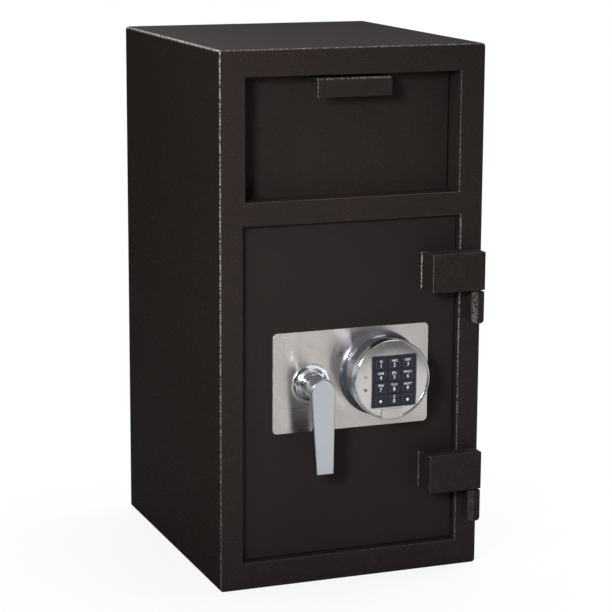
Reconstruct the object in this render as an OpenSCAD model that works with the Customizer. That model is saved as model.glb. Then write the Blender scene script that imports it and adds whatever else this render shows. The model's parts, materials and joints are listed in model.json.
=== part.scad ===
// Deposit safe: a steel cabinet with a tilting deposit hopper above a recessed, hinged door.
// Millimetres. The origin is the centre of the cabinet's bottom face, X to the right,
// Y towards the back, Z up. A size called "out" is measured forward from the face of the frame.
// The door is drawn closed with its bolts drawn back, and the hopper is drawn shut.

/* [Cabinet] */
// Width of the cabinet
body_w = 356; // [346:1:400]
// Depth of the cabinet
body_d = 396; // [380:1:450]
// Height of the cabinet
body_h = 686; // [670:1:740]
// Thickness of the folded body sheet
wall_t = 3; // [2:0.5:5]
// Outer radius of the body's long folded edges
edge_r = 4.5; // [4:0.5:6]
// Thickness of the back panel
back_t = 3; // [2:0.5:5]
// Thickness of the front frame
frame_t = 3; // [2:0.5:5]
// Width of the frame beside the door
stile_w = 31; // [28:0.5:34]
// Width of the frame beside the hopper
hopper_stile_w = 33.5; // [31:0.5:40]
// Height of the frame below the door
bottom_rail = 35; // [25:0.5:45]
// Height of the frame between the door and the hopper
middle_rail = 30.5; // [26:0.5:36]
// Height of the frame above the hopper
top_rail = 34; // [28:0.5:45]
// Height of the hopper's opening
hopper_open_h = 154; // [140:1:165]
// Distance between the floor's anchor holes, left to right
anchor_spacing_x = 220; // [160:5:260]
// Distance between the floor's anchor holes, front to back
anchor_spacing_y = 200; // [150:5:260]
// Radius of an anchor hole
anchor_hole_r = 6.5; // [5:0.5:8]

/* [Door] */
// How far the door's face lies behind the frame's face
door_recess = 11; // [9:0.5:13]
// Thickness of the door plate
door_t = 12.7; // [10:0.1:14]
// Gap above, below and on the hinge side of the door
door_gap = 1.5; // [1.2:0.1:2]
// Gap on the side that swings
door_swing_gap = 1.8; // [1.6:0.1:2.4]
// Relief on the back corner of the swinging edge
door_relief = 3; // [2.5:0.5:4]
// Thickness of the door jamb
jamb_t = 3; // [2:0.5:4]
// Depth of the door jamb behind the frame
jamb_depth = 25; // [23:0.5:27]
// Width of one door stop
stop_w = 22; // [14:1:30]
// How far a door stop reaches into the opening
stop_reach = 6; // [4:0.5:8]
// Distance between the two stops of a pair
stop_spacing = 200; // [140:5:240]
// Depth of one door stop
stop_depth = 5.5; // [4:0.5:7]

/* [Hinges] */
// Width of a hinge arm
arm_w = 73; // [64:0.5:80]
// Height of a hinge arm
arm_h = 49.5; // [44:0.5:56]
// How far a hinge arm stands out
arm_out = 24; // [22:0.5:26]
// Gap between a hinge arm and the frame's face
arm_clear = 0.8; // [0.5:0.1:1.2]
// Height of the lower arm above the door opening's lower edge
arm_low = 73.5; // [64:0.5:84]
// Height of the upper arm's underside below the door opening's upper edge
arm_high = 95; // [84:0.5:106]
// Distance from the hinge axis to the cabinet's side
hinge_inset = 13; // [12:0.5:14]
// How far the hinge axis stands out
hinge_out = 11; // [10.6:0.1:12]
// Width of a knuckle
knuckle_w = 15; // [13:0.5:17]
// How far a knuckle stands out
knuckle_out = 22; // [20:0.5:24]
// Height of a knuckle
knuckle_h = 41.3; // [36:0.1:46]
// Radius of a knuckle's lower corners
knuckle_r = 5; // [2:0.5:6]
// Gap between a knuckle and its arm
knuckle_gap = 2.6; // [2:0.1:4]
// Radius of a hinge pin
pin_r = 4; // [3:0.5:5]
// Depth of a hinge pin in the knuckle and in the arm
pin_depth = 30; // [20:1:34]
// Outer radius of a hinge washer
washer_r = 7; // [6:0.5:7]

/* [Hopper] */
// How far the hopper's panel lies behind the frame's face
hopper_recess = 34; // [30:0.5:38]
// Thickness of the hopper's panel
panel_t = 3; // [2:0.5:4]
// Gap at the sides of the hopper
hopper_gap = 1.5; // [1:0.1:2.5]
// How far the panel reaches below the opening
panel_drop = 4; // [3:0.5:6]
// Thickness of the sleeve that lines the hopper's opening
sleeve_t = 3; // [2:0.5:4]
// Depth of the sleeve behind the frame
sleeve_depth = 135; // [110:1:150]
// Height of the ledge's turned-down edge
ledge_drop = 12; // [10:0.5:16]
// Thickness of the rubber bumper
bumper_t = 2.6; // [2:0.1:3]
// Gap between the rubber bumper and the hopper's panel
bumper_gap = 0.4; // [0.2:0.1:0.8]
// Distance from the opening's sides to the rubber bumper
bumper_inset = 20; // [10:1:40]
// Distance from the ledge down to the rubber bumper
bumper_drop = 1; // [0.5:0.5:2]
// Radius of the hopper's rod
rod_r = 5; // [4:0.5:6]
// Distance from the panel's face back to the rod
rod_back = 14; // [12:0.5:18]
// Height of the rod above the opening's lower edge
rod_rise = 7; // [6:0.5:9]
// Gap between the hopper and the top of its opening
cheek_clear = 2; // [1.5:0.1:3]
// Thickness of a cheek
cheek_t = 2; // [1.5:0.5:3]
// How far a cheek reaches below the rod
cheek_drop = 10; // [9:0.5:13]
// Slope of the tray when the hopper is shut
tray_slope = 35; // [30:1:40]
// Thickness of the tray
tray_t = 2; // [1.5:0.5:3]
// How far the tray stops short of the cheeks' round edge
tray_short = 3; // [2:0.5:6]
// Width of the pull
pull_w = 100; // [80:1:130]
// Height of the pull's front
pull_h = 24.5; // [20:0.5:32]
// Thickness of the pull
pull_t = 3; // [2:0.5:4]
// Distance from the panel's upper edge to the pull
pull_drop = 1.5; // [1:0.5:4]
// Thickness of the baffle behind the hopper
baffle_t = 2; // [1.5:0.5:3]
// Depth of the baffle's upper flange
baffle_flange = 20; // [12:1:30]
// Height of the baffle's lower edge above the rod
baffle_rise = 25; // [15:1:35]
// Clearance between the cheeks and the baffle
baffle_clear = 6; // [4:0.5:10]

/* [Trim plate] */
// Width of the trim plate
trim_w = 213.5; // [200:0.5:225]
// Height of the trim plate
trim_h = 130.5; // [120:0.5:140]
// Thickness of the trim plate
trim_t = 2; // [1:0.5:3]
// Radius of the trim plate's corners
trim_r = 6; // [3:0.5:10]
// Distance of the trim plate's centre to the right of the door's centre
trim_right = 1.75; // [-4:0.25:4]
// Height of the trim plate's centre above the door's centre
trim_rise = 12; // [4:0.5:20]

/* [Handle] */
// Distance of the handle's axis to the left of the trim plate's centre
handle_left = 55.25; // [50:0.25:58]
// Height of the handle's axis below the trim plate's centre
handle_drop = 3.25; // [0:0.25:8]
// Radius of the rose
rose_r = 26; // [22:0.5:30]
// Thickness of the rose
rose_t = 3; // [2:0.5:5]
// Radius of the rose's collar
collar_r = 19; // [17:0.5:21]
// Height of the rose's collar
collar_h = 8; // [5:0.5:12]
// Size of the bevels on the rose
rose_bevel = 1; // [0.5:0.1:1.5]
// Radius of the handle's hub
hub_r = 16; // [14:0.5:16.5]
// How far the handle's face stands out
handle_out = 35.5; // [32:0.5:42]
// Thickness of the lever
lever_t = 9; // [6:0.5:12]
// Distance from the handle's axis to the lever's end
lever_l = 108; // [90:1:125]
// Distance from the handle's axis to the left edge of the lever's end
lever_end_left = 8.6; // [6:0.1:12]
// Distance from the handle's axis to the right edge of the lever's end
lever_end_right = 14.7; // [10:0.1:15]
// Gap between the handle's hub and the rose
hub_gap = 0.3; // [0.2:0.1:1]
// Radius of the spindle
spindle_r = 8; // [7:0.5:9]
// Clearance of the spindle in the trim plate
spindle_clear = 2; // [1:0.5:3]
// Radius of the cam
cam_r = 22; // [20.5:0.5:24]
// Thickness of the cam
cam_t = 6; // [4:0.5:7]
// Gap between the door's back and the cam
cam_gap = 0.8; // [0.3:0.1:1.2]
// Radius of the crank pin
crank_r = 4; // [3:0.5:4.5]

/* [Boltwork] */
// How far the bolts travel
bolt_travel = 22; // [18:0.5:24]
// Radius of a bolt
bolt_r = 12.7; // [11:0.1:13.5]
// Distance from the door's upper and lower edges to a bolt
bolt_inset = 94.75; // [84:0.25:110]
// Gap between a bolt and the back edge of the jamb
bolt_behind = 2.3; // [1.5:0.1:3]
// Distance from a bolt's drawn-back end to the edge of the door opening
bolt_back = 9; // [8.5:0.5:12]
// Size of the chamfer on a bolt's end
bolt_chamfer = 2; // [1:0.5:3]
// Thickness of the bolt bar
bar_t = 8; // [6:0.5:10]
// Distance from the bolt bar to the handle's axis
bar_left = 20.5; // [19:0.5:24]
// Depth of the bolt bar
bar_d = 23; // [18:0.5:26]
// How far the bar and the guide reach past the bolts
bar_end = 20; // [16:1:30]
// Thickness of the bolt guide
guide_t = 8; // [6:0.5:10]
// Distance from the drawn-back end of a bolt to the guide
guide_back = 4; // [3:0.5:8]
// Depth of the bolt guide
guide_d = 34.3; // [33.5:0.1:36]
// Width of the bolt guide's foot
guide_foot_w = 14; // [10:0.5:18]
// Thickness of the bolt guide's foot
guide_foot_t = 3.6; // [3:0.1:4]
// Thickness of the drive plate
drive_t = 5; // [4:0.5:6]
// Gap between the cam and the drive plate
drive_gap = 1; // [0.5:0.1:1.5]
// Height of the drive plate above the handle's axis
drive_top = 14; // [10:0.5:20]
// Height of the drive plate's foot
foot_h = 27; // [24:0.5:32]
// Gap between the lock case and the drive plate's foot
foot_gap = 10; // [9.5:0.5:14]
// How far the drive plate reaches past its rest
foot_past = 26; // [24:0.5:28]
// Play on each side of the crank pin in its slot
slot_play = 0.6; // [0.5:0.05:0.8]
// Width of the drive plate's rest
rest_w = 10; // [8:0.5:12]
// Wall of the drive plate's rest
rest_wall = 5; // [4:0.5:7]
// Gap between the drive plate's foot and the dead bar
foot_clear = 4.7; // [3:0.1:8]
// Depth of the dead bar's foot
dead_d = 21.3; // [20:0.1:24]
// Width of the dead bar's foot
dead_foot_w = 20; // [14:0.5:22]
// Distance from the opening's edge to the dead bar's foot
dead_inset = 7; // [5:0.5:10]
// How far the dead bar reaches behind the jamb
dead_reach = 10; // [8:0.5:11]
// Thickness of the dead bar's lip
dead_t = 12; // [10:0.5:13]
// Distance from the door's ends to the dead bar
dead_end = 34; // [25:1:60]
// Thickness of the keeper behind the frame
keeper_t = 6; // [4:0.5:8]
// Distance from the opening's ends to the keeper
keeper_end = 40; // [20:1:60]

/* [Lock] */
// Width of the lock case
lock_w = 66; // [60:1:72]
// Height of the lock case
lock_h = 85; // [78:1:95]
// Depth of the lock case without its cover
lock_d = 28; // [24:0.5:30]
// Wall of the lock case
lock_wall = 3; // [2:0.5:4]
// Thickness of the lock case's cover
lock_cover_t = 2; // [1.5:0.5:3]
// Distance of the lock case's centre below the keypad's centre
lock_drop = 3.2; // [0:0.1:6]
// Width of the lock's bolt
lock_bolt_w = 20; // [16:0.5:22]
// Depth of the lock's bolt
lock_bolt_d = 14; // [12:0.5:16]
// Length of the lock's bolt inside the case
lock_bolt_in = 38; // [30:1:40]
// How far the lock's bolt travels
lock_travel = 8; // [6:0.5:9]
// Play on each side of the lock's bolt
lock_play = 0.2; // [0.1:0.05:0.3]
// Gap between the lock's bolt and the drive plate's ramp
ramp_gap = 0.4; // [0.3:0.05:0.6]
// How far the ramp reaches past the left side of the lock's bolt
ramp_left = 5; // [3:0.5:8]
// How far the ramp reaches past the right side of the lock's bolt
ramp_right = 6; // [4:0.5:8]

/* [Boltwork cover] */
// Thickness of the cover
cover_t = 1.5; // [1:0.5:2]
// Distance from the door's back to the cover's outside
cover_d = 39.3; // [38:0.1:42]
// Distance from the cover's left edge to the door opening's edge
cover_left = 23; // [20:0.5:30]
// Distance from the cover's right edge to the dead bar
cover_right = 6; // [3:0.5:12]
// Distance from the door's lower edge to the cover
cover_below = 60; // [50:1:66]
// Distance from the door's upper edge to the cover
cover_above = 20; // [16:1:40]
// Width of the cover's feet
cover_foot = 14; // [12:0.5:20]

/* [Keypad] */
// Distance of the keypad's centre to the right of the trim plate's centre
keypad_right = 38.55; // [36:0.25:42]
// Height of the keypad's centre above the trim plate's centre
keypad_rise = 4.45; // [0:0.25:8]
// How far the keypad's face stands out
keypad_out = 35; // [34:0.5:40]
// Outer radius of the keypad's housing
housing_r = 52.5; // [52:0.5:54]
// How far the housing draws in behind its bezel
waist_in = 2; // [0.5:0.1:2.5]
// Height of the housing behind its bezel
waist_h = 25; // [10:0.5:27]
// Height of the slope at the back of the bezel
waist_slope = 1.5; // [0.5:0.5:3]
// Size of the bevel on the bezel's front edge
rim_bevel = 2.5; // [0.5:0.1:2.5]
// Wall of the housing at its rim
rim_t = 3.1; // [2.5:0.1:4]
// Wall of the housing behind the face
housing_wall = 5; // [4.5:0.1:6]
// Height of the keypad's base
base_h = 6; // [4:0.5:8]
// How far the base stands past the housing
base_past = 2.5; // [0.5:0.1:3]
// Height of the slope on the base's edge
base_slope = 3; // [1:0.5:4]
// Thickness of the keypad's face
face_t = 3; // [2:0.5:4]
// Gap around the keypad's face
face_gap = 0.2; // [0.1:0.05:0.4]
// Width of the key frame
key_frame_w = 61; // [60:0.5:64]
// Height of the key frame
key_frame_h = 67; // [66:0.5:68]
// Radius of the key frame's corners
key_frame_r = 2; // [1.5:0.5:4]
// Distance of the key frame's centre to the right of the keypad's centre
key_frame_right = 2; // [0:0.25:3]
// Distance of the key frame's centre below the keypad's centre
key_frame_drop = 1.5; // [0:0.25:1.5]
// Distance from one column of keys to the next
key_pitch_x = 18.5; // [18:0.1:19]
// Distance from one row of keys to the next
key_pitch_z = 15.6; // [15:0.1:16]
// Width of a key
key_w = 15; // [13:0.5:16]
// Height of a key
key_h = 13; // [11:0.5:13]
// Thickness of a key
key_t = 6; // [5.5:0.1:7]
// How far a key stands out of the face
key_proud = 1; // [0.8:0.1:1.5]
// Gap around a key
key_gap = 0.3; // [0.2:0.05:0.4]
// How far a key travels
key_travel = 1.2; // [0.8:0.1:1.4]
// Thickness of the key mat
mat_t = 1.5; // [1:0.1:2]
// Distance from the key frame's edge to the edge of the key mat
mat_inset = 1.5; // [1:0.1:2]
// Thickness of the circuit board
board_t = 1.6; // [1:0.1:2]
// Radius of a status light
light_r = 1.5; // [1:0.1:2]
// Distance of the status lights to the left of the keypad's centre
light_left = 36.7; // [35:0.1:39]
// Distance between the two status lights
light_spacing = 16.4; // [12:0.1:20]
// Height of the status lights' middle below the keypad's centre
light_drop = 2.5; // [0:0.5:5]
// Radius of the lock's lead
lead_r = 2; // [1.5:0.1:2.5]
// Clearance around the lead in the door and the trim plate
lead_clear = 1; // [0.5:0.1:2]
// Height of the lock's lead above the keypad's centre
lead_rise = 12; // [10:0.5:16]

/* [Battery] */
// Width of the battery
battery_w = 26.5; // [26:0.1:27]
// Depth of the battery
battery_d = 17.5; // [17:0.1:18]
// Height of the battery
battery_h = 48.5; // [45:0.5:49]
// Wall of the battery tray
tray_wall = 1.2; // [1:0.1:1.5]
// Gap between the battery and its tray
battery_gap = 0.2; // [0.1:0.05:0.3]
// Distance from the keypad's base to the battery tray
drawer_rise = 5; // [3:0.5:6]
// Gap between the battery tray and the housing
drawer_gap = 0.3; // [0.2:0.05:0.4]
// Height of the tray's walls beside the battery
tray_cup_h = 26; // [18:1:36]
// Distance from the keypad's centre down to the tray's front
tray_front_drop = 37.5; // [36.7:0.1:40]

/* [Fasteners] */
// Radius of a screw's head
screw_head_r = 5; // [4:0.5:6]
// Height of a screw's head
screw_head_h = 3; // [2:0.5:4]
// Width across the flats of a screw's socket
socket_af = 5; // [4:0.5:5.5]
// Distance from a screw's head to the edge beside it
screw_edge = 1; // [0.5:0.5:3]
// Depth of a screw's socket
socket_d = 1.8; // [1:0.1:1.9]
// Radius of a bolt's screw head
bolt_screw_r = 8; // [6:0.5:9]
// Radius of a retaining clip
clip_r = 9; // [8:0.5:11]
// Thickness of a retaining clip
clip_t = 1.6; // [1:0.1:2]

/* [Hidden] */

// Resolution of round outlines.
$fn = 64;
// Radial clearance of a shaft in its bore.
shaft_play = 0.06;
// Gap between faces that meet without touching.
seat = 0.3;
// Extra length of a cutting body past a face.
past = 1;

charcoal = [0.17, 0.155, 0.15];
dark_steel = [0.3, 0.3, 0.31];
bright_steel = [0.62, 0.63, 0.65];
satin = [0.73, 0.71, 0.69];
chrome = [0.8, 0.82, 0.84];
navy = [0.11, 0.11, 0.16];
brass = [0.72, 0.5, 0.28];

// Planes of the cabinet.
front_y = -body_d / 2;
back_y = body_d / 2;
side_x = body_w / 2;
inner_x = side_x - wall_t;
inner_edge_r = max(edge_r - wall_t, 1);
frame_back_y = front_y + frame_t;

// The two openings of the frame.
door_open_x = side_x - stile_w;
hopper_open_x = side_x - hopper_stile_w;
hopper_open_top = body_h - top_rail;
hopper_open_z = hopper_open_top - hopper_open_h;
door_open_z = bottom_rail;
door_open_top = hopper_open_z - middle_rail;
door_mid_z = (door_open_z + door_open_top) / 2;

// The door.
door_face_y = front_y + door_recess;
door_back_y = door_face_y + door_t;
door_left = -door_open_x + door_swing_gap;
door_right = door_open_x - door_gap;
door_low = door_open_z + door_gap;
door_high = door_open_top - door_gap;
jamb_back_y = frame_back_y + jamb_depth;

// The hinges.
hinge_x = side_x - hinge_inset;
hinge_y = front_y - hinge_out;
arm_right = hinge_x + knuckle_w / 2;
arm_left = arm_right - arm_w;
arm_levels = [door_open_z + arm_low, door_open_top - arm_high];
arm_relief_r = hinge_out - arm_clear;

// The hopper.
panel_y = front_y + hopper_recess;
panel_back_y = panel_y + panel_t;
panel_low = hopper_open_z - panel_drop;
panel_high = hopper_open_top - cheek_clear;
hopper_x = hopper_open_x - hopper_gap;
rod_y = panel_y + rod_back;
rod_z = hopper_open_z + rod_rise;
cheek_r = panel_high - rod_z;
ledge_back_y = panel_y - bumper_t - bumper_gap;
baffle_y = rod_y + cheek_r + baffle_clear;
tray_lift = rod_r + past;
tray_end = cheek_r - tray_short;

// Trim plate, handle and keypad.
trim_x = trim_right;
trim_z = door_mid_z + trim_rise;
plate_out = trim_t - door_recess;
handle_x = trim_x - handle_left;
handle_z = trim_z - handle_drop;
keypad_x = trim_x + keypad_right;
keypad_z = trim_z + keypad_rise;
collar_out = plate_out + collar_h;
lever_back_out = handle_out - lever_t;

// The cam turns a quarter turn, so its pin swings from one side of straight down to the other.
crank_throw = bolt_travel / sqrt(2);
cam_y = door_back_y + cam_gap;
cam_back_y = cam_y + cam_t;
drive_y = cam_back_y + drive_gap;
drive_back_y = drive_y + drive_t;
crank_end_y = drive_back_y + drive_gap;
slot_x = handle_x + bolt_travel / 2;

// The bolts, their bar and their guide.
bolt_y = jamb_back_y + bolt_behind + bolt_r;
bolt_levels = [door_low + bolt_inset, door_high - bolt_inset];
bolt_tip = -door_open_x + bolt_back;
bar_x = handle_x - bar_left - bar_t;
bolt_l = bar_x - bolt_tip;
bar_low = bolt_levels[0] - bar_end;
bar_high = bolt_levels[1] + bar_end;
guide_x = bolt_tip + guide_back;
guide_back_y = door_back_y + guide_d;

// The lock.
lock_x = keypad_x - lock_w / 2;
lock_right = lock_x + lock_w;
lock_low = keypad_z - lock_drop - lock_h / 2;
lock_back_y = door_back_y + lock_d;
lock_bolt_x = lock_x + lock_w / 3;
lock_bolt_right = lock_bolt_x + lock_bolt_w;
lock_bolt_y = drive_y + drive_t / 2 - lock_bolt_d / 2;
foot_top = lock_low - foot_gap;
foot_low = foot_top - foot_h;
ramp_rise = lock_travel / bolt_travel;
ramp_x = lock_bolt_x - ramp_left + bolt_travel;
ramp_end = lock_bolt_right + ramp_right + bolt_travel;

// The dead bar, the drive plate's foot and rest beside it, and the cover.
dead_right = door_open_x - dead_inset;
dead_left = dead_right - dead_foot_w;
dead_back_y = door_back_y + dead_d;
foot_end = dead_left - foot_clear;
rest_x = foot_end - foot_past - rest_w;
cover_x = -door_open_x + cover_left;
cover_end_x = dead_left - cover_right;
cover_back_y = door_back_y + cover_d;
cover_low = door_low + cover_below;
cover_high = door_high - cover_above;

// The keypad, front to back.
housing_out = plate_out + base_h;
face_back_out = keypad_out - face_t;
key_out = keypad_out + key_proud;
key_back_out = key_out - key_t;
mat_out = key_back_out - key_travel - seat;
board_out = mat_out - mat_t;
board_back_out = board_out - board_t;
inner_r = housing_r - housing_wall;
key_frame_x = keypad_x + key_frame_right;
key_frame_z = keypad_z - key_frame_drop;
drawer_w = battery_w + 2 * (battery_gap + tray_wall);
drawer_out = housing_out + drawer_rise;
battery_out = drawer_out + tray_wall + battery_gap;
drawer_front_out = battery_out + battery_d + battery_gap + tray_wall;
battery_low = keypad_z - inner_r + tray_wall;

// A box between two corners.
module box(x0, x1, y0, y1, z0, z1) {
    translate([x0, y0, z0]) cube([x1 - x0, y1 - y0, z1 - z0]);
}

// A box between two distances out from the frame's face.
module box_out(x0, x1, out0, out1, z0, z1) {
    box(x0, x1, front_y - out1, front_y - out0, z0, z1);
}

// A disc that faces forward, between two distances out from the frame's face.
module disc_out(x, z, r, out0, out1) {
    translate([x, front_y - out0, z]) rotate([90, 0, 0]) cylinder(r = r, h = out1 - out0);
}

// A disc that faces backward from the plane y.
module disc_back(x, z, r, y, h) {
    translate([x, y + h, z]) rotate([90, 0, 0]) cylinder(r = r, h = h);
}

// A round bar along X.
module bar_along_x(x0, x1, y, z, r) {
    translate([x0, y, z]) rotate([0, 90, 0]) cylinder(r = r, h = x1 - x0);
}

// A turned shape whose outline gives radius and distance out.
module turned(x, z, outline) {
    translate([x, front_y, z]) rotate([90, 0, 0]) rotate_extrude($fn = 96) polygon(outline);
}

// An outline in X and Z, made solid from distance out0 to distance out1.
module plate_out_shape(out0, out1) {
    translate([0, front_y - out0, 0]) rotate([90, 0, 0]) linear_extrude(out1 - out0) children();
}

// An outline in Y and Z, made solid from x0 to x1.
module plate_side_shape(x0, x1) {
    translate([x0, 0, 0]) rotate([90, 0, 90]) linear_extrude(x1 - x0) children();
}

module rectangle(x0, x1, z0, z1) {
    translate([x0, z0]) square([x1 - x0, z1 - z0]);
}

module rounded_rectangle(x0, x1, z0, z1, r) {
    rectangle(x0 + r, x1 - r, z0, z1);
    rectangle(x0, x1, z0 + r, z1 - r);
    for (x = [x0 + r, x1 - r], z = [z0 + r, z1 - r]) translate([x, z]) circle(r = r);
}

// A cap screw's head on a face that looks backward.
module screw_head(x, z, y, r = screw_head_r) {
    difference() {
        disc_back(x, z, r, y, screw_head_h);
        translate([x, y + screw_head_h + past, z]) rotate([90, 0, 0])
            cylinder(d = socket_af / cos(30), h = socket_d + past, $fn = 6);
    }
}

module body_wrap() color(charcoal) difference() {
    translate([0, back_y - back_t, 0]) rotate([90, 0, 0])
        linear_extrude(body_d - back_t - frame_t) difference() {
            rounded_rectangle(-side_x, side_x, 0, body_h, edge_r);
            rounded_rectangle(-inner_x, inner_x, wall_t, body_h - wall_t, inner_edge_r);
        }
    for (x = [-1, 1], y = [-1, 1])
        translate([x * anchor_spacing_x / 2, y * anchor_spacing_y / 2, -past])
            cylinder(r = anchor_hole_r, h = wall_t + 2 * past);
}

module back_panel() color(charcoal)
    plate_out_shape(-body_d, -body_d + back_t)
        rounded_rectangle(-side_x, side_x, 0, body_h, edge_r);

module front_frame() color(charcoal) plate_out_shape(-frame_t, 0) difference() {
    rounded_rectangle(-side_x, side_x, 0, body_h, edge_r);
    rectangle(-door_open_x, door_open_x, door_open_z, door_open_top);
    rectangle(-hopper_open_x, hopper_open_x, hopper_open_z, hopper_open_top);
}

module door_jamb() color(charcoal) plate_out_shape(-frame_t - jamb_depth, -frame_t) difference() {
    rectangle(-door_open_x - jamb_t, door_open_x + jamb_t,
        door_open_z - jamb_t, door_open_top + jamb_t);
    rectangle(-door_open_x, door_open_x, door_open_z, door_open_top);
}

// Four tabs that the closed door's back comes to rest against.
module door_stops() color(charcoal) {
    y0 = door_back_y + seat;
    for (x = [-1, 1] * stop_spacing / 2) {
        box(x - stop_w / 2, x + stop_w / 2, y0, y0 + stop_depth,
            door_open_z, door_open_z + stop_reach);
        box(x - stop_w / 2, x + stop_w / 2, y0, y0 + stop_depth,
            door_open_top - stop_reach, door_open_top);
    }
}

// The bar between jamb and side wall that the thrown bolts bear on.
module bolt_keeper() color(dark_steel)
    box(-inner_x, -door_open_x - jamb_t, jamb_back_y - keeper_t, jamb_back_y,
        door_open_z + keeper_end, door_open_top - keeper_end);

module hinge_knuckles() color(charcoal) for (z = arm_levels) {
    top = z - knuckle_gap;
    low = top - knuckle_h;
    difference() {
        plate_out_shape(0, knuckle_out) {
            rounded_rectangle(hinge_x - knuckle_w / 2, hinge_x + knuckle_w / 2, low, top, knuckle_r);
            rectangle(hinge_x - knuckle_w / 2, hinge_x + knuckle_w / 2, top - knuckle_h / 2, top);
        }
        translate([hinge_x, hinge_y, top - pin_depth])
            cylinder(r = pin_r + shaft_play, h = pin_depth + past);
    }
}

module hinge_pins() color(bright_steel) for (z = arm_levels)
    translate([hinge_x, hinge_y, z - knuckle_gap - pin_depth])
        cylinder(r = pin_r, h = 2 * pin_depth + knuckle_gap - seat);

module hinge_washers() color(brass) for (z = arm_levels)
    translate([hinge_x, hinge_y, z - knuckle_gap]) difference() {
        cylinder(r = washer_r, h = knuckle_gap - seat);
        translate([0, 0, -past]) cylinder(r = pin_r + shaft_play, h = knuckle_gap + 2 * past);
    }

// Top, sides and ledge around the hopper. The ledge stops in front of the panel.
module hopper_sleeve() color(charcoal) {
    x1 = hopper_open_x + sleeve_t;
    low = hopper_open_z - ledge_drop;
    back = frame_back_y + sleeve_depth;
    difference() {
        union() {
            box(-x1, x1, frame_back_y, back, hopper_open_top, hopper_open_top + sleeve_t);
            for (x = [-x1, hopper_open_x])
                box(x, x + sleeve_t, frame_back_y, back, low, hopper_open_top);
            box(-hopper_open_x, hopper_open_x, frame_back_y, ledge_back_y,
                hopper_open_z - sleeve_t, hopper_open_z);
            box(-hopper_open_x, hopper_open_x, ledge_back_y - sleeve_t, ledge_back_y,
                low, hopper_open_z);
        }
        bar_along_x(-side_x, side_x, rod_y, rod_z, rod_r + shaft_play);
    }
}

// A fixed sheet that keeps hands out of the store while the hopper is open.
module hopper_baffle() color(charcoal) {
    x1 = inner_x - inner_edge_r;
    top = body_h - wall_t;
    box(-x1, x1, baffle_y, baffle_y + baffle_t, rod_z + baffle_rise, top);
    box(-x1, x1, baffle_y, baffle_y + baffle_flange, top - baffle_t, top);
}

module hopper_rod() color(bright_steel)
    bar_along_x(-hopper_open_x - sleeve_t - 2 * clip_t, hopper_open_x + sleeve_t + 2 * clip_t,
        rod_y, rod_z, rod_r);

module rod_clips() color(bright_steel) for (side = [-1, 1]) {
    x = side * (hopper_open_x + sleeve_t + clip_t / 2);
    difference() {
        bar_along_x(x - clip_t / 2, x + clip_t / 2, rod_y, rod_z, clip_r);
        bar_along_x(x - clip_t, x + clip_t, rod_y, rod_z, rod_r + shaft_play);
    }
}

module hopper_bumper() color([0.06, 0.06, 0.06])
    box(-hopper_open_x + bumper_inset, hopper_open_x - bumper_inset,
        ledge_back_y, ledge_back_y + bumper_t,
        hopper_open_z - ledge_drop, hopper_open_z - bumper_drop);

module hopper_panel() color(charcoal)
    box(-hopper_x, hopper_x, panel_y, panel_back_y, panel_low, panel_high);

// A bent plate: a flange forward from the panel and a face that turns down from it.
module hopper_pull() color(charcoal) {
    top = panel_high - pull_drop;
    box(-pull_w / 2, pull_w / 2, front_y, panel_y, top - pull_t, top);
    box(-pull_w / 2, pull_w / 2, front_y, front_y + pull_t, top - pull_h, top);
}

// The region on or above a line parallel to the tray, v millimetres above the rod's centre.
module above_tray(v) {
    rotate(-tray_slope) translate([-body_d / 2, v]) square([body_d, body_d]);
}

module hopper_cheek(x0) plate_side_shape(x0, x0 + cheek_t)
    translate([rod_y, rod_z]) difference() {
        intersection() {
            circle(r = cheek_r, $fn = 128);
            above_tray(-cheek_drop);
            translate([panel_back_y - rod_y, -body_d / 2]) square(body_d);
        }
        circle(r = rod_r + shaft_play);
    }

module hopper_cheek_left() color(charcoal) hopper_cheek(-hopper_x);

module hopper_cheek_right() color(charcoal) hopper_cheek(hopper_x - cheek_t);

module hopper_tray() color(charcoal) plate_side_shape(-hopper_x + cheek_t, hopper_x - cheek_t)
    translate([rod_y, rod_z]) intersection() {
        rotate(-tray_slope) translate([-cheek_r, tray_lift]) square([cheek_r + tray_end, tray_t]);
        translate([panel_back_y - rod_y, -body_d / 2]) square(body_d);
    }

module door_plate() color(charcoal) difference() {
    box(door_left, door_right, door_face_y, door_back_y, door_low, door_high);
    translate([door_left, door_back_y, door_low - past]) rotate([0, 0, 45])
        translate([-door_relief / sqrt(2), -door_relief / sqrt(2), 0])
            cube([door_relief * sqrt(2), door_relief * sqrt(2), door_high - door_low + 2 * past]);
    disc_back(handle_x, handle_z, spindle_r + shaft_play, door_face_y - past, door_t + 2 * past);
    disc_back(keypad_x, keypad_z + lead_rise, lead_r + lead_clear,
        door_face_y - past, door_t + 2 * past);
}

// Each arm is stepped: its left end lies on the door, its right end passes over the frame.
module hinge_arms() color(charcoal) for (z = arm_levels) translate([0, 0, z]) difference() {
    linear_extrude(arm_h) {
        rectangle(arm_left, arm_right, front_y - arm_out, hinge_y);
        rectangle(arm_left, hinge_x, hinge_y - past, front_y - arm_clear);
        intersection() {
            translate([hinge_x, hinge_y]) circle(r = arm_relief_r, $fn = 96);
            rectangle(hinge_x - past, arm_right, hinge_y - past, front_y);
        }
        rectangle(arm_left, door_right, front_y - arm_clear - past, door_face_y);
    }
    translate([hinge_x, hinge_y, -past]) cylinder(r = pin_r + shaft_play, h = pin_depth + past);
}

module trim_plate() color(satin) difference() {
    plate_out_shape(-door_recess, plate_out) rounded_rectangle(trim_x - trim_w / 2,
        trim_x + trim_w / 2, trim_z - trim_h / 2, trim_z + trim_h / 2, trim_r);
    disc_out(handle_x, handle_z, spindle_r + spindle_clear, -door_recess - past, plate_out + past);
    disc_out(keypad_x, keypad_z + lead_rise, lead_r + lead_clear,
        -door_recess - past, plate_out + past);
}

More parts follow.
